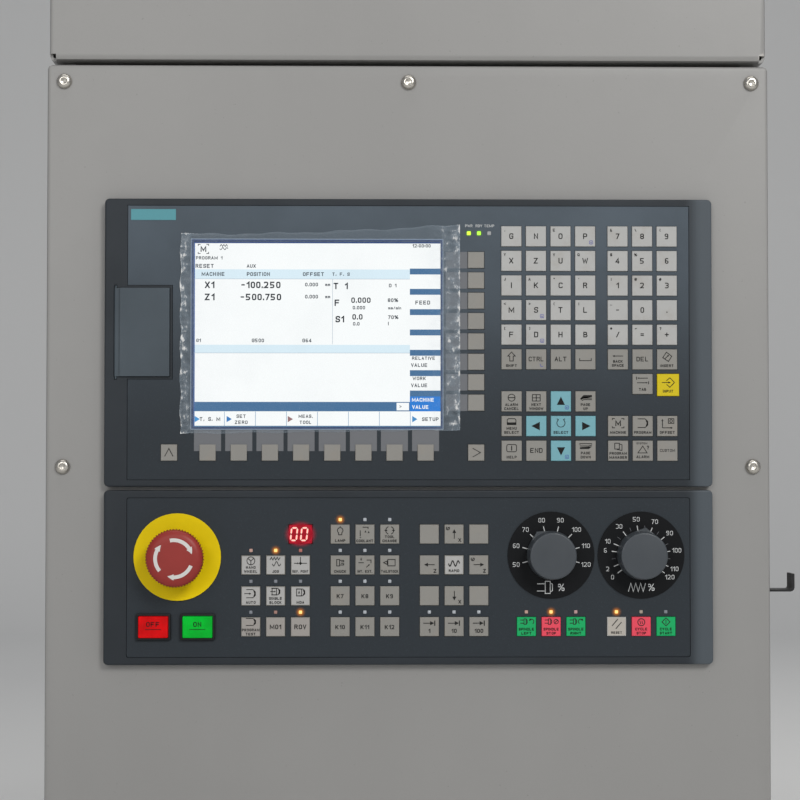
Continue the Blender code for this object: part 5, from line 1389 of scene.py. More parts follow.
@dataclass
class EmergencyStop:
    """Mushroom head with a knurled skirt and the arrows that show which way it is released."""

    teeth: int = 60
    tooth_depth: float = 1.1 * MM
    skirt_height: float = 8.0 * MM
    socket_radius: float = 6.3 * MM
    arrow_radius: float = 12.5
    arrow_width: float = 2.5
    arrow_sweep: float = 88.0
    arrow_head: float = 20.0
    arrow_starts: tuple[float, ...] = (-12.0, 112.0, 229.0)
    head_widening: float = 1.7
    finish: Finish = Moulded("dusty_red_head", srgb(146, 48, 43), 0.42,
                             1300.0, 0.01 * MM, dust=0.08, shine=0.3)

    def __post_init__(self) -> None:
        """Read the head's size and place from the frame."""
        low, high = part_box("estop_head")
        self.centre = box_middle("estop_head")
        self.rim = (high.x - low.x) / 2
        self.front, self.back = low.y, high.y

    def profile(self) -> np.ndarray:
        """Half section from the socket for the stem round the skirt to the middle of the dome."""
        rim, height = self.rim, self.back - self.front
        skirt = self.front + 0.22 * height
        corners = np.array([
            (NEAR_AXIS, self.front + height / 2), (self.socket_radius, self.front + height / 2),
            (self.socket_radius, self.back), (0.55 * rim, self.back),
            (0.55 * rim, skirt + self.skirt_height + 0.1 * rim),
            (0.9 * rim, skirt + self.skirt_height),
            (rim, skirt + self.skirt_height - 0.05 * rim), (rim, skirt),
            (0.93 * rim, self.front + 0.09 * height), (0.80 * rim, self.front + 0.02 * height),
            (0.60 * rim, self.front), (NEAR_AXIS, self.front)])
        reaches = np.array([0, 0, 0, 0.3, 1, 1, 0.5, 1.2, 1.5, 1.5, 1.5, 0]) * MM
        return round_corners(corners, reaches)

    def knurl(self, radius: np.ndarray, depth: np.ndarray, angle: np.ndarray) -> np.ndarray:
        """Lower the skirt's radius by rounded teeth, a power of 1 + cos(teeth times angle)."""
        tooth = 0.5 * (1 + np.cos(self.teeth * angle)) ** 0.7
        return radius - (radius > 0.965 * self.rim) * tooth * self.tooth_depth

    def dome_depth(self, x: np.ndarray, z: np.ndarray) -> np.ndarray:
        """Depth of the dome's surface in front of a point, read along its profile."""
        outer = self.profile()
        outer = outer[np.argmax(outer[:, 0]):][::-1]
        order = np.argsort(outer[:, 0])
        radius = np.hypot(x - self.centre[0], z - self.centre[1])
        return np.interp(radius, outer[order, 0], outer[order, 1])

    def arrow(self) -> tuple[np.ndarray, np.ndarray]:
        """One bent arrow: a grid along an arc that widens at the head and narrows to its tip.

        Returns:
            Points in millimetres about the head's axis, and triangles.
        """
        neck, jump = self.arrow_sweep - self.arrow_head, 0.01
        angle = np.concatenate([np.linspace(0, neck, 14),
                                np.linspace(neck + jump, self.arrow_sweep, 6)])
        head = np.clip((self.arrow_sweep - angle) / self.arrow_head, 0, 1)
        share = np.where(angle > neck, self.head_widening * head + 0.01, 1.0)
        half = self.arrow_width / 2 * share
        radius = self.arrow_radius + half[:, None] * np.linspace(-1, 1, 5)
        bent = np.radians(angle)[:, None]
        grid = np.stack([radius * np.sin(bent), radius * np.cos(bent)], -1)
        return grid.reshape(-1, 2), grid_cells(*grid.shape[:2])

    def build(self) -> None:
        """Build the head and the print on it."""
        points, faces = turn(self.profile(), self.centre, 4 * self.teeth, self.knurl)
        present(make_mesh("mushroom_head", points, faces), self.finish, "estop_head",
                40.0, ["estop_head"])
        sheet = Print("release_arrows", self.dome_depth)
        points, faces = self.arrow()
        for start in self.arrow_starts:
            Pen(sheet, *self.centre, turn=start, tint=Ink.WHITE.value).lay(points, faces)
        present(sheet.mesh(), INK_FINISH, "estop_head")


@dataclass
class Knob:
    """Override knob: a tapered round body with a nose that runs into it along its tangents."""

    prefix: str
    pointer: float
    taper: float = 0.8 * MM
    edge: float = 1.1 * MM
    nose: float = 2.5 * MM
    nose_height: float = 6.0 * MM
    clearance: float = 0.3 * MM
    sides: int = 144
    finish: Finish = Moulded("knob_moulding", srgb(65, 70, 75), 0.36,
                             1500.0, 0.012 * MM, dust=0.06, shine=0.4)

    def build(self) -> None:
        """Build the knob round its shaft."""
        node = f"{self.prefix}_knob"
        low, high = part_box(node)
        shaft_low, shaft_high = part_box(f"{self.prefix}_shaft")
        centre = box_middle(f"{self.prefix}_scale")
        foot = (high.x - low.x) / 2
        bore = (shaft_high.x - shaft_low.x) / 2 + self.clearance
        bore_end = shaft_low.y - self.clearance
        shoulder = high.y - self.nose_height
        top = foot - self.taper
        profile = round_corners(np.array([
            (NEAR_AXIS, bore_end), (bore, bore_end), (bore, high.y), (foot, high.y),
            (foot, shoulder), (foot - 0.1 * MM, shoulder - 0.4 * MM), (top, low.y),
            (NEAR_AXIS, low.y)]),
            [0, 0, 0, 0.3 * MM, 0.3 * MM, 0, self.edge, 0], 5)
        tangent = math.acos(foot / (foot + self.nose))

        def rule(radius: np.ndarray, depth: np.ndarray, angle: np.ndarray) -> np.ndarray:
            """Radius over the cosine of what is left of the tangent's angle, near the pointer."""
            off = np.abs((angle - math.radians(self.pointer) + math.pi) % (2 * math.pi) - math.pi)
            lengthened = radius / np.cos(np.clip(tangent - off, 0.0, None))
            on_nose = (radius > bore * 1.5) & (depth > shoulder - 0.1 * MM)
            return np.where(on_nose, lengthened, radius + 0 * angle)

        points, faces = turn(profile, centre, self.sides, rule, math.radians(self.pointer))
        present(make_mesh(f"{self.prefix}_override_knob", points, faces), self.finish,
                node, 35.0, [node])


@dataclass(frozen=True)
class Dial:
    """Print of one override dial: ticks, numbers and a sign for what it sets."""

    node: str
    labels: tuple[str, ...]
    span: float
    sign: tuple[Mark, ...]
    tick_from: float = 16.8
    tick_to: float = 20.4
    label_radius: float = 24.9
    label_height: float = 3.1
    minor_shorter: float = 1.0
    sign_x: float = -2.9
    percent_x: float = 7.0
    sign_z: float = -22.2

    def draw(self, sheet: Print) -> None:
        """Print the dial.

        Args:
            sheet: The print that it goes on.
        """
        x, z = box_middle(self.node)
        pen = Pen(sheet, x, z, tint=Ink.PALE.value)
        minor_pen = replace(pen, tint=Ink.GREY.value)
        angles = np.radians(np.linspace(-self.span, self.span, len(self.labels)))
        for label, angle in zip(self.labels, angles):
            spoke = np.array([math.sin(angle), math.cos(angle)])
            if label:
                pen.stroke([spoke * self.tick_from, spoke * self.tick_to], 0.6)
                pen.at(*(spoke * self.label_radius)).write(label, self.label_height, 0.12)
            else:
                minor_from = self.tick_from + self.minor_shorter
                minor_pen.stroke([spoke * minor_from, spoke * self.tick_to], 0.3)
        for mark in self.sign:
            mark.draw(pen.at(self.sign_x, self.sign_z))
        pen.at(self.percent_x, self.sign_z).write("%", 4.9, 0.12, 0.85)


@dataclass
class MachinePanel:
    """Legends, lamps, dials, digits and knobs of the lower unit."""

    modes: Legends = (("handwheel", "jog", "reference"), ("auto", "single_block", "manual_data"),
                      ("program_test", "optional_stop", "rapid_override"))
    functions: Legends = (("lamp", "coolant", "tool_change"),
                          ("chuck_jaws", "inside_outside", "tailstock"),
                          ("k7", "k8", "k9"), ("k10", "k11", "k12"))
    axes: Legends = (("", "x_back", ""), ("z_left", "rapid", "z_right"), ("", "x_front", ""),
                     ("step_1", "step_10", "step_100"))
    drive_keys: Legends = (
        ("spindle_left_key", "spindle_left"), ("spindle_stop_key", "spindle_stop"),
        ("spindle_right_key", "spindle_right"), ("feed_reset_key", "reset"),
        ("feed_stop_key", "cycle_stop"), ("feed_start_key", "cycle_start"))
    bright: tuple[str, ...] = ("handwheel", "jog", "reference", "auto", "single_block",
                               "manual_data", "rapid")
    warm: tuple[str, ...] = ("program_test", "optional_stop", "rapid_override")
    lamp_size: float = 2.3 * MM
    lamp_above_key: float = 10.0 * MM
    cap: float = 12.1

    def build(self) -> None:
        """Build everything of the unit."""
        self.build_legends()
        self.build_drive_legends()
        self.build_lamps()
        self.build_dials()
        self.build_digits()
        self.build_button_legends()
        Knob("spindle", -32.0).build()
        Knob("feed", 7.5).build()
        EmergencyStop().build()

    def fields(self) -> tuple[tuple[KeyField, Legends], ...]:
        """The three key fields with their legends."""
        return ((KeyField("keymat_modes"), self.modes),
                (KeyField("keymat_functions"), self.functions),
                (KeyField("keymat_axes"), self.axes))

    def build_legends(self) -> None:
        """Print the caps' inserts and their legends."""
        sheet = Print("machine_key_legends", KeyField("keymat_modes").front)
        for keys, legends in self.fields():
            label_keys(sheet, keys, legends, self.draw_key)
        present(sheet.mesh(), INK_FINISH)

    def draw_key(self, pen: Pen, label: str) -> None:
        """Print one cap's insert, if it has one, and its legend."""
        if label in self.bright or label in self.warm:
            insert = Ink.BRIGHT_KEY if label in self.bright else Ink.WARM_KEY
            replace(pen, tint=insert.value).block(self.cap, self.cap, 0.2)
        tint = Ink.SOFT.value if label.startswith("k") else pen.tint
        draw_marks(replace(pen, lift=1, tint=tint), label)

    def build_drive_legends(self) -> None:
        """Print each moving key's own legend."""
        for node, label in self.drive_keys:
            sheet = Print(f"{node}_legend", box_front(node))
            pen = Pen(sheet, *box_middle(node), tint=srgb(40, 42, 40))
            if label == "reset":
                replace(pen, tint=srgb(184, 178, 169)).block(self.cap, self.cap, 0.2)
            draw_marks(replace(pen, lift=1), label)
            present(sheet.mesh(), INK_FINISH, node)

    def lamp_places(self) -> list[tuple[float, float, bool]]:
        """X, Z and whether it is lit, for each lamp over a key."""
        lit = ("jog", "rapid_override", "lamp", "spindle_stop", "reset")
        modes, functions, (axes, axis_labels) = self.fields()
        places = [(x, z, label) for keys, legends in (modes, functions)
                  for z, labels in zip(keys.rows, legends)
                  for x, label in zip(keys.columns, labels)]
        places += [(x, axes.rows[-1], label) for x, label in zip(axes.columns, axis_labels[-1])]
        places += [(*box_middle(node), label) for node, label in self.drive_keys]
        return [(x, z + self.lamp_above_key, label in lit) for x, z, label in places]

    def build_lamps(self) -> None:
        """Build a small square lens in each window, and the light that spills round lit ones."""
        front = box_front("machine_faceplate")
        lenses, spill = Gathering("machine_lamps"), Print("machine_lamp_spill", front)
        cool, warm, dim = srgb(175, 180, 186), srgb(196, 158, 146), srgb(128, 132, 140)
        off = [warm, warm, srgb(180, 112, 102), *[dim] * 4, srgb(165, 128, 118), dim, *[cool] * 15,
               warm, warm, srgb(190, 152, 152), dim, srgb(170, 156, 142), dim]
        for tint, (x, z, lit) in zip(off, self.lamp_places()):
            light = (1.0, 0.62, 0.20) if lit else None
            add_lamp(lenses, (x, z), self.lamp_size, front, tint, light)
            if lit:
                add_spill(spill, (x, z), 4.2 * MM, (0.95, 0.30, 0.03), 0.75)
        present(lenses.mesh(), LAMP_FINISH, sharp=50.0)
        present(spill.mesh(), GLOW_FINISH)

    def build_dials(self) -> None:
        """Print both override dials."""
        sheet = Print("dial_print", box_front("spindle_scale"))
        spindle_steps = tuple(str(share) for share in range(50, 130, 10))
        feed_steps = ("0", "2", "", "6", "10", "", "30", "", "50", "", "70", "", "90", "", "100",
                      "", "110", "120")
        Dial("spindle_scale", spindle_steps, 105.0, chuck(0, 0, 1.9)).draw(sheet)
        Dial("feed_scale", feed_steps, 127.5, (zigzag(0, 0, 1.7, 5.8, 7),)).draw(sheet)
        present(sheet.mesh(), INK_FINISH)

    def build_digits(self) -> None:
        """Light the two digits of the tool number, each of bars with pointed ends."""
        x, z = box_middle("tool_display")
        low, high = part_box("tool_display")
        sheet = Print("tool_digits", low.y)
        pen, edge = Pen(sheet, x, z), 0.8
        width, height = (high.x - low.x) / MM, (high.z - low.z) / MM
        window = replace(pen, tint=(0.05, 0.0, 0.005), light=(0.30, 0.003, 0.01))
        window.block(width - edge, height - edge, 0.5)
        for side in (-1, 1):
            digit = pen.at(3.5 * side - 1.0, 0.0)
            for layer, bar, light in ((1, 1.7, (0.95, 0.05, 0.06)), (2, 0.95, (1.0, 0.72, 0.60))):
                for points in seven_segments(4.0, 8.6, bar, 0.10):
                    replace(digit, lift=layer, light=light, tint=(0.1, 0.02, 0.02)).fill(points)
        present(sheet.mesh(), GLOW_FINISH)
        halo = Print("tool_digits_spill", box_front("machine_faceplate"))
        add_spill(halo, (x, z), 12.5 * MM, (0.65, 0.02, 0.05), 0.55, (1.0, 0.82), 8.0 * MM)
        present(halo.mesh(), GLOW_FINISH)

    def build_button_legends(self) -> None:
        """Print OFF and ON on the lenses, each over a line."""
        for node, slot, word, tint in (("red_button_cap", "lens_red", "OFF", srgb(70, 2, 5)),
                                       ("green_button_cap", "lens_green", "ON", srgb(2, 50, 18))):
            sheet = Print(f"{node}_legend", box_front(node))
            pen = Pen(sheet, *box_middle(node), tint=tint)
            pen.at(0, 1.9).write(word, 3.4, 0.2)
            pen.at(0, -1.6).block(11.0, 0.5)
            present(sheet.mesh(), INK_FINISH, node)


def seven_segments(width: float, height: float, bar: float, slant: float) -> list[np.ndarray]:
    """The six bars of a zero, pointed at both ends and leaning to the right.

    Args:
        width: Distance between the upright bars' middle lines.
        height: Distance between the top and bottom bars' middle lines.
        bar: Width of a bar.
        slant: Shift to the right for each unit of height.

    Returns:
        The outline of each bar.
    """
    def outline(start: tuple[float, float], end: tuple[float, float]) -> np.ndarray:
        """A bar from one joint to the next, with a small gap at both."""
        begin, finish = np.array(start), np.array(end)
        along = (finish - begin) / np.linalg.norm(finish - begin)
        side = np.array([-along[1], along[0]]) * bar / 2
        begin, finish = begin + along * gap, finish - along * gap
        after, before = begin + along * bar / 2, finish - along * bar / 2
        return np.array([begin, after + side, before + side, finish, before - side, after - side])
    w, h, gap = width / 2, height / 2, 0.28
    joints = [(-w, h), (w, h), (w, 0), (w, -h), (-w, -h), (-w, 0), (-w, h)]
    upright = [outline(start, end) for start, end in zip(joints, joints[1:])]
    return [shape + shape[:, 1:] * (slant, 0.0) for shape in upright]


def add_lamp(lenses: Gathering, place: tuple[float, float], size: float, front: float, tint: Colour,
             light: Colour | None) -> None:
    """Add one square lens with a domed front to a gathering.

    Args:
        lenses: Where it goes.
        place: Its X and Z.
        size: Its width.
        front: Depth of the plate's face round it.
        tint: Its colour when dark.
        light: Its light, or None when dark.
    """
    half = size / 2
    steps = ((0.1, 1.4), (1.0, 1.4), (1.0, 0.05), (0.9, -0.08), (0.6, -0.2), (0.1, -0.25))
    profile = np.array([(share * half, front + depth * MM) for share, depth in steps])
    points, faces = turn(profile, place, 24, squircle)
    core = tint if light is None else tuple(0.5 * part for part in light)
    lenses.add(points, faces, core, (0.0, 0.0, 0.0) if light is None else light)


def add_spill(sheet: Print, place: tuple[float, float], radius: float, light: Colour,
              strength: float, shape: tuple[float, float] = (1.0, 1.0),
              inner: float = 0.8 * MM) -> None:
    """Add the light that spills over the plate round a lamp, fading out from its middle.

    Opacity falls from strength at the inner radius to 0 at the outer as (1 - share)^2.4.

    Args:
        sheet: The print that it goes on.
        place: Its X and Z.
        radius: Where the light ends.
        light: Its colour.
        strength: Its opacity near the lamp.
        shape: Share of the radius across and up.
        inner: Radius up to which it is full.
    """
    rings, spokes = 9, 32
    share = np.linspace(0, 1, rings)[:, None]
    angle = np.linspace(0, 2 * math.pi, spokes, endpoint=False)[None, :]
    reach = inner + (radius - inner) * share
    grid = np.stack([place[0] + reach * np.sin(angle) * shape[0],
                     place[1] + reach * np.cos(angle) * shape[1]], -1)
    fade = (strength * (1 - share) ** 2.4 + 0 * angle).reshape(-1, 1)
    tint = np.column_stack([np.zeros((rings * spokes, 3)), fade])
    sheet.lay(grid.reshape(-1, 2), grid_cells(rings, spokes, True), tint, 0, light)


@dataclass
class DisplayUnit:
    """Screen picture, film, key legends, lamps and printed fields of the upper unit."""

    screen_size: tuple[float, float] = (170.7, 128.2)
    split: float = 149.5
    letters: tuple[str, ...] = ("GNOP789", "XZUW456", "IKCR123", "MSTL-0.", "FDHB/=+")
    second_signs: str = "G,OEXYUVWQIJKAC\"R'M<S>T(L!F[D]7&8\\9(4$5%1!2@3#-_/*=~+?"
    blue_signs: str = "PSD"
    edit_keys: Legends = (
        ("shift", "ctrl", "alt", "space", "backspace", "del", "insert"),
        ("", "", "", "", "", "tab"),
        ("alarm_cancel", "next_window", "", "page_up"),
        ("menu_select", "", "", "", "machine", "program", "offset"),
        ("help", "end", "", "page_down", "program_manager", "alarm", "custom"))
    own_keys: Legends = (("key_up", "up"), ("key_left", "left"), ("key_select", "select"),
                         ("key_right", "right"), ("key_down", "down"), ("key_input", "input"))
    badge: tuple[float, float, float, float] = (-192.0, -161.0, 84.6, 92.2)

    def __post_init__(self) -> None:
        """Read the screen's lit corner from the frame."""
        low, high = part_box("screen_panel")
        self.left = low.x + SCREEN_BORDER
        self.top = high.z - SCREEN_BORDER
        self.screen_front = low.y

    def build(self) -> None:
        """Build everything of the unit."""
        self.build_legends()
        self.build_own_legends()
        self.build_plate_print()
        self.build_lamps()
        self.build_badge()
        self.build_picture()
        ProtectiveFilm().build()

    def build_legends(self) -> None:
        """Print the letters, digits and words on the two large mats and the soft-key mat."""
        keys, soft = KeyField("keymat_letters"), KeyField("keymat_soft")
        sheet = Print("display_key_legends", keys.front)
        label_keys(sheet, keys, self.letters, self.draw_letter)
        label_keys(sheet, KeyField("keymat_edit"), self.edit_keys)
        draw_marks(soft.pen(sheet, -1, 0), "recall")
        draw_marks(soft.pen(sheet, -1, -1), "further")
        present(sheet.mesh(), INK_FINISH)

    def draw_letter(self, pen: Pen, letter: str) -> None:
        """Print a letter or digit with its second sign and its blue sign, if it has them."""
        pen.at(0, 0.1).write(letter, 3.9, 0.17)
        seconds = dict(zip(self.second_signs[::2], self.second_signs[1::2]))
        if letter in seconds:
            pen.at(-4.5, 4.3).write(seconds[letter], 2.0, 0.2)
        if letter in self.blue_signs:
            for mark in blue_mark():
                mark.draw(pen)

    def build_own_legends(self) -> None:
        """Print each moving key's own legend."""
        for node, label in self.own_keys:
            sheet = Print(f"{node}_legend", box_front(node))
            draw_marks(Pen(sheet, *box_middle(node)), label)
            present(sheet.mesh(), INK_FINISH, node)

    def build_plate_print(self) -> None:
        """Print the grey fields from the screen to its soft keys, its dark border line, a pale
        painted highlight line round the window's edge and lamp names.
        """
        sheet = Print("display_plate_print", box_front("display_faceplate"))
        soft = KeyField("keymat_soft")
        width, height = self.screen_size
        tint = Ink.GREY.value
        for z in soft.rows[:-1]:
            Pen(sheet, float(soft.columns[-1]) - 13.4 * MM, float(z), tint=tint).block(15.0, 11.4)
        for x in soft.columns[1:-1]:
            Pen(sheet, float(x), self.top - (height + 9.4) * MM, tint=tint).block(18.6, 14.6)
        pen = Pen(sheet, self.left + width / 2 * MM, self.top - height / 2 * MM)
        # A dark blue line round the screen, and outside it a pale line that is a painted highlight
        # on the edge of the plate's window.
        for colour, margin, stroke in ((srgb(34, 58, 110), 1.5, 1.2),
                                       (srgb(150, 168, 190), 3.3, 0.5)):
            border = rectangle(width + margin, height + margin)
            replace(pen, tint=colour).stroke(border, stroke, True)
        for x, z, word in zip(*self.lamp_places(), ("PWR", "RDY", "TEMP")):
            Pen(sheet, x, z + 5.1 * MM, tint=Ink.PALE.value).write(word, 1.8)
        present(sheet.mesh(), INK_FINISH)

    def lamp_places(self) -> tuple[list[float], list[float]]:
        """X and Z of the three status lamps."""
        soft = KeyField("keymat_soft")
        right, top = float(soft.columns[-1]), float(soft.rows[0])
        return [right + offset * MM for offset in (-4.9, 2.1, 9.2)], [top + 18.7 * MM] * 3

    def build_lamps(self) -> None:
        """Build the three status lamps: two lit green, one dark."""
        front = box_front("display_faceplate")
        lenses, spill = Gathering("status_lamps"), Print("status_lamp_spill", front)
        lights = ((0.62, 1.0, 0.05), (0.42, 0.95, 0.05), None)
        for x, z, light in zip(*self.lamp_places(), lights):
            add_lamp(lenses, (x, z), 2.7 * MM, front, srgb(160, 162, 164), light)
            if light:
                add_spill(spill, (x, z), 3.2 * MM, (0.25, 0.62, 0.02), 0.45)
        present(lenses.mesh(), LAMP_FINISH, sharp=50.0)
        present(spill.mesh(), GLOW_FINISH)

    def build_badge(self) -> None:
        """Build the blank plate in the upper left corner: a thin slab with eased edges."""
        left, right, low, high = self.badge
        middle_z = box_middle("display_frame")[1] + (low + high) / 2 * MM
        middle_x = (left + right) / 2 * MM
        half = np.array([(right - left) / 2, (high - low) / 2]) * MM
        plate, edge, corner = box_front("display_faceplate"), 0.12 * MM, 0.4 * MM
        back, front = plate - 0.02 * MM, plate - 0.35 * MM
        rings = []
        for inset, depth in ((0.0, back), (0.0, front + edge), (edge, front)):
            outline = rectangle(2 * (half[0] - inset), 2 * (half[1] - inset), corner)
            rings.append(np.column_stack([middle_x + outline[:, 0], np.full(len(outline), depth),
                                          middle_z + outline[:, 1]]))
        points, faces = closed_grid(np.stack(rings))
        badge = Gathering("blank_badge")
        badge.add(points, faces, Ink.TEAL.value)
        present(badge.mesh(), INK_FINISH, sharp=30.0)

    def screen_pen(self, sheet: Print, u: float, v: float, tint: Colour, lift: int = 1) -> Pen:
        """A pen on the screen, in millimetres right of and below its upper left corner."""
        return Pen(sheet, self.left + u * MM, self.top - v * MM, tint=(0.0, 0.0, 0.0), light=tint,
                   lift=lift)

    def area(self, sheet: Print, box: tuple[float, float, float, float], tint: Colour,
             lift: int = 1) -> None:
        """Fill an area of the screen given by its left, right, top and bottom."""
        left, right, top, bottom = box
        pen = self.screen_pen(sheet, (left + right) / 2, (top + bottom) / 2, tint, lift)
        pen.block(right - left, bottom - top)

    def build_picture(self) -> None:
        """Light the screen: header, values of two axes, tool and speed fields, soft-key bars."""
        sheet = Print("screen_picture", self.screen_front)
        width, height = self.screen_size
        white, blue, pale = srgb(252, 255, 255), srgb(66, 110, 152), srgb(220, 240, 250)
        dark, soft, cell = srgb(14, 20, 28), srgb(40, 48, 58), srgb(20, 122, 214)
        split, foot_pitch, side_pitch = self.split, 21.4, 14.1
        self.area(sheet, (0, width, 0, height), white, 0)
        self.area(sheet, (0, split, 19.1, 25.7), pale)
        self.area(sheet, (0, split, 71.4, 76.9), pale)
        for box in ((0, split, 25.6, 25.9), (0, split, 76.9, 77.2), (95.8, 96.1, 26, 70.9)):
            self.area(sheet, box, srgb(176, 190, 202), 2)
        self.area(sheet, (0, split, 110.9, 117.4), blue)
        self.area(sheet, (140.3, 148.9, 111.5, 116.7), white, 2)
        self.area(sheet, (0, width, 127.4, height), srgb(86, 124, 160))
        self.screen_pen(sheet, 143.0, 114.1, dark, 3).write(">", 2.2)
        for place in range(1, 8):
            middle = foot_pitch * place
            self.area(sheet, (middle - 0.2, middle + 0.2, 117.6, 127.6), srgb(140, 170, 198))
        for place in range(7):
            down = side_pitch * place
            self.area(sheet, (split, width, 18.4 + down, 22.5 + down), blue)
        self.area(sheet, (split, width, 107.1, 117.4), cell)
        self.area(sheet, (0, width, 0, 1.0), srgb(40, 66, 122), 2)
        self.area(sheet, (0, 0.8, 0, height), srgb(70, 100, 160), 2)
        self.write_picture(sheet, dark, soft, white)
        present(sheet.mesh(), GLOW_FINISH)

    def write_picture(self, sheet: Print, dark: Colour, soft: Colour, white: Colour) -> None:
        """Write the screen's plain values and signs.

        Args:
            sheet: The screen's print.
            dark: Colour of the large text.
            soft: Colour of the small text.
            white: Colour of text on blue.
        """
        for u, v, text, size, tint in (
                (11.0, 29.9, "X1", 4.4, dark), (46.4, 29.9, "-100.250", 4.3, dark),
                (11.0, 38.3, "Z1", 4.4, dark), (46.4, 38.3, "-500.750", 4.3, dark),
                (81.4, 29.6, "0.000", 2.4, soft), (92.6, 29.6, "mm", 2.0, soft),
                (81.4, 38.0, "0.000", 2.4, soft), (92.6, 38.0, "mm", 2.0, soft),
                (101.6, 30.6, "T 1", 4.2, dark), (137.6, 30.2, "D 1", 2.3, soft),
                (99.2, 42.2, "F", 4.2, dark), (115.6, 40.4, "0.000", 3.6, dark),
                (114.2, 45.6, "0.000", 2.3, soft), (137.8, 40.4, "80%", 2.5, soft),
                (139.0, 45.8, "mm/min", 1.9, soft), (101.0, 53.6, "S1", 4.2, dark),
                (113.2, 52.0, "0.0", 3.6, dark), (112.4, 56.8, "0.0", 2.3, soft),
                (138.0, 52.2, "70%", 2.5, soft), (134.6, 56.6, "I", 2.3, soft),
                (10.6, 11.2, "PROGRAM 1", 2.2, soft), (7.6, 16.8, "RESET", 2.6, soft),
                (39.8, 16.8, "AUX", 2.3, soft), (13.4, 22.4, "MACHINE", 2.5, soft),
                (44.6, 22.4, "POSITION", 2.5, soft), (82.8, 22.4, "OFFSET", 2.5, soft),
                (101.8, 22.4, "T, F, S", 2.2, soft), (3.4, 68.4, "G1", 2.2, soft),
                (44.4, 68.4, "G500", 2.4, soft), (78.4, 68.4, "G64", 2.4, soft),
                (157.6, 2.6, "12:00:00", 2.2, soft), (158.4, 42.0, "FEED", 2.6, soft),
                (159.0, 80.6, "RELATIVE", 2.2, soft), (156.0, 85.4, "VALUE", 2.4, soft),
                (156.0, 94.6, "WORK", 2.3, soft), (156.0, 99.4, "VALUE", 2.4, soft),
                (158.6, 109.4, "MACHINE", 2.4, white), (156.8, 114.4, "VALUE", 2.4, white),
                (11.4, 122.8, "T, S, M", 2.5, soft), (33.0, 120.8, "SET", 2.3, soft),
                (33.0, 125.0, "ZERO", 2.3, soft), (77.4, 120.8, "MEAS.", 2.2, soft),
                (77.4, 125.0, "TOOL", 2.2, soft), (163.6, 122.8, "SETUP", 2.4, soft)):
            self.screen_pen(sheet, u, v, tint, 3).write(text, size * 1.05, 0.2)
        icon = self.screen_pen(sheet, 6.6, 5.0, dark, 3)
        icon.write("M", 4.0, 0.2)
        for side in (-1, 1):
            for end in (-1, 1):
                corner = ((2.0, 3.2), (3.6, 3.2), (3.6, 2.1))
                icon.stroke([(side * x, end * z) for x, z in corner], 0.5)
        for mark in (zigzag(20.7, -2.6, 0.9, 1.4, 6), wave(20.7, -4.8, 1.4, 1.5, 4)):
            replace(mark, width=0.45).draw(self.screen_pen(sheet, 0.0, 0.0, dark, 3))
        for u, tint in ((2.4, srgb(64, 150, 214)), (24.4, srgb(46, 120, 190)),
                        (66.6, srgb(150, 110, 110)), (152.6, srgb(60, 140, 200))):
            self.screen_pen(sheet, u, 122.8, tint, 3).fill([(-1.5, 2.2), (2.1, 0.0), (-1.5, -2.2)])


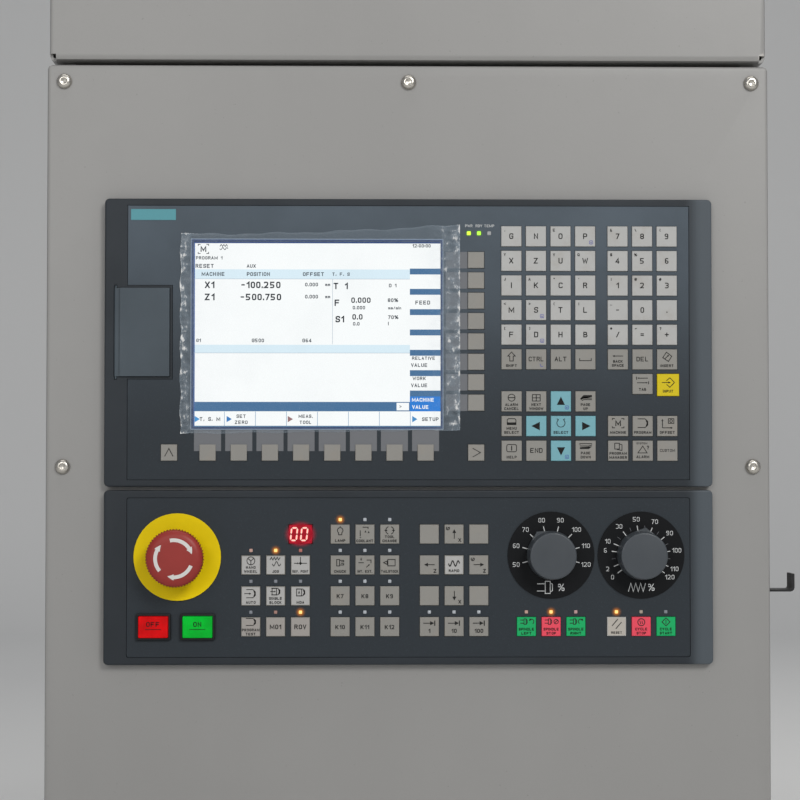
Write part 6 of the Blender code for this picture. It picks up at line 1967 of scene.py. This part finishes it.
@dataclass
class ProtectiveFilm:
    """Loose clear film over the screen: flat in its middle, crinkled along its sides.

    The outline is a rectangle with a top edge that rises to the right. Height over the plate is
    a sum of folded waves, 1 - |sine|, along slightly bent lines, and grows towards both sides.
    """

    columns: int = 220
    rows: int = 150
    crinkle: float = 0.75 * MM
    rise: float = 10.6 * MM
    sag: float = 4.0 * MM
    past_left: float = 1.0 * MM
    families: tuple[tuple[float, float, float, float], ...] = (
        (61, 9, 0.0, 1.0), (35, -37, 1.3, 0.8), (18, 83, 2.1, 0.7), (97, 29, 0.4, 0.5),
        (9, 140, 4.0, 0.35))
    finish: Finish = Film("clear_protective_film", srgb(150, 164, 176), 0.22)

    def build(self) -> None:
        """Build the film in place of its node."""
        low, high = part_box("screen_film")
        u, v = np.meshgrid(np.linspace(0, 1, self.columns), np.linspace(0, 1, self.rows))
        left, right = low.x - self.past_left, high.x
        bottom = low.z + (-1.0 + 2.6 * u + 0.35 * np.sin(u * 31.0)) * MM
        ripple = -4.2 + 0.5 * np.sin(u * 23.0) + 0.35 * np.sin(u * 57.0 + 1.0)
        top = high.z + ripple * MM + self.rise * u ** 1.6 - self.sag * u
        x = left + (right - left) * u + 0.5 * MM * np.sin(v * 40.0) * (u < 0.02)
        z = bottom + (top - bottom) * v
        sides = self.near(u, 0.045) + self.near(1 - u, 0.075) + 0.12 * self.near(1 - v, 0.06)
        side = np.clip(sides, 0, 1)
        whole = sum(family[-1] for family in self.families)
        folds = sum(self.fold(u, v, *family) for family in self.families) / whole
        height = self.crinkle * side * folds ** 1.5 * 1.6
        points = np.stack([x, high.y - 0.1 * MM - height, z], -1).reshape(-1, 3)
        mesh = make_mesh("loose_screen_film", points, grid_cells(self.rows, self.columns))
        edge = np.maximum(self.near(np.minimum(v, 1 - v), 0.008),
                          self.near(np.minimum(u, 1 - u), 0.005))
        panel_low, panel_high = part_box("screen_panel")
        outside = ((x < panel_low.x + SCREEN_BORDER) | (x > panel_high.x - SCREEN_BORDER)
                   | (z < panel_low.z + SCREEN_BORDER) | (z > panel_high.z - SCREEN_BORDER))
        # Painted highlights: opacity rises along the folds and the film's cut edges, and a hazier
        # band lies over the plate outside the lit screen.
        crease = np.clip(side * folds * 1.2 + 0.3 * edge + 0.22 * outside, 0, 1)
        layer = mesh.attributes.new("crease", "FLOAT", "POINT")
        layer.data.foreach_set("value", crease.astype(np.float32).ravel())
        film = present(mesh, self.finish, sharp=80.0, stands_for=["screen_film"])

    @staticmethod
    def near(distance: np.ndarray, reach: float) -> np.ndarray:
        """How near an edge is: exp(-(distance / reach)^2), which is 1 on it."""
        return np.exp(-((distance / reach) ** 2))

    @staticmethod
    def fold(u: np.ndarray, v: np.ndarray, across: float, up: float, shift: float,
             share: float) -> np.ndarray:
        """One family of sharp folds, 1 - |sine| of a slightly bent coordinate, times its share."""
        bent = (u * across + v * up + shift + 0.9 * np.sin(v * 17.0 + shift)
                + 0.5 * np.sin(u * 23.0 + v * 31.0))
        return share * (1 - np.abs(np.sin(bent)))


@dataclass
class Studio:
    """Pale sweep, soft lamps and the camera in front of the panels."""

    camera: Spot = (-0.0323, -1.588, 0.2794)
    pitch: float = 1.768
    yaw: float = 0.998
    sensor: float = 36.0
    lens: float = 97.845
    sky_colour: Colour = (0.93, 0.95, 1.0)
    sky_strength: float = 0.34

    def build(self) -> None:
        """Build the sweep, the lamps, the world and the camera."""
        self.build_sweep()
        self.add_lamp("key_lamp", (1.0, -2.6, 1.6), (0.0, 0.0, 0.28), 0.8, 36.0)
        self.add_lamp("fill_lamp", (-0.8, -2.7, 1.0), (0.0, 0.0, 0.25), 0.9, 12.0)
        self.add_lamp("top_lamp", (0.0, 0.1, 2.1), (0.0, 0.0, 0.4), 1.6, 14.0)
        self.build_world()
        self.place_camera()

    def build_sweep(self) -> None:
        """Floor that bends up into a wall: a line, a quarter circle and a line, carried along X."""
        front, bend, radius, top, half = -7.0, 2.0, 1.0, 5.0, 9.0
        quarter = np.radians(np.linspace(0, 90, 24))
        curve = np.column_stack([bend + radius * np.sin(quarter), radius * (1 - np.cos(quarter))])
        profile = np.concatenate([[(front, 0.0)], curve, [(bend + radius, top)]])
        across = np.linspace(-half, half, 5)
        grid = np.stack([np.repeat(across[None], len(profile), 0), np.repeat(profile[:, :1], 5, 1),
                         np.repeat(profile[:, 1:], 5, 1)], -1)
        mesh = make_mesh("studio_sweep", grid.reshape(-1, 3), grid_cells(*grid.shape[:2]))
        mesh.shade_smooth()
        mesh.materials.append(Pale("pale_sweep", (0.72, 0.72, 0.71), 0.9).material())
        sweep = bpy.data.objects.new("studio_sweep", mesh)
        bpy.context.scene.collection.objects.link(sweep)

    def add_lamp(self, name: str, place: Spot, target: Spot, size: float, power: float) -> None:
        """Add a soft square lamp that looks at a point.

        Args:
            name: The lamp's name.
            place: Where it stands.
            target: What it looks at.
            size: Its width.
            power: Its power in watts.
        """
        lamp = bpy.data.lights.new(name, "AREA")
        lamp.energy, lamp.size, lamp.color = power, size, (1.0, 0.99, 0.97)
        holder = bpy.data.objects.new(name, lamp)
        bpy.context.scene.collection.objects.link(holder)
        look_at(holder, place, target)

    def build_world(self) -> None:
        """Even pale light all round, with the same pale colour seen behind the station."""
        world = bpy.data.worlds.new("pale_world")
        world.use_nodes = True
        surface = world.node_tree.nodes["Background"]
        surface.inputs["Color"].default_value = (*self.sky_colour, 1.0)
        surface.inputs["Strength"].default_value = self.sky_strength
        bpy.context.scene.world = world

    def place_camera(self) -> None:
        """Place the camera in front, tilted up and turned to the right a little."""
        camera = bpy.data.cameras.new("camera")
        camera.lens, camera.sensor_width = self.lens, self.sensor
        holder = bpy.data.objects.new("camera", camera)
        bpy.context.scene.collection.objects.link(holder)
        x, y, z = self.camera
        tilt, side = math.radians(self.pitch), math.radians(self.yaw)
        look_at(holder, self.camera, (x + math.sin(side) * math.cos(tilt),
                                      y + math.cos(side) * math.cos(tilt), z + math.sin(tilt)))
        bpy.context.scene.camera = holder


def look_at(holder: bpy.types.Object, place: Spot, target: Spot) -> None:
    """Place a lamp or camera and turn it towards a point."""
    holder.location = place
    way = Vector(target) - Vector(place)
    holder.rotation_euler = way.to_track_quat("-Z", "Y").to_euler()


def clear_strays() -> None:
    """Remove the objects that a new file holds, so that only the frame is left."""
    kept = {*frame["nodes"].values(), *frame["bodies"].values()}
    for stray in [item for item in bpy.data.objects if item not in kept]:
        bpy.data.objects.remove(stray)


def main() -> None:
    """Dress the frame and build every piece in order."""
    logging.basicConfig(level=logging.INFO, format="%(name)s: %(message)s")
    clear_strays()
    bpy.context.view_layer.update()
    low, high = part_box("top_hood")
    Cad(((high.x - 1.5 * MM, low.y, low.z + 3.0 * MM),)).dress()
    Screws().build()
    DisplayUnit().build()
    MachinePanel().build()
    Studio().build()
    bpy.context.scene.view_settings.view_transform = "Standard"


if __name__ == "__main__":
    main()
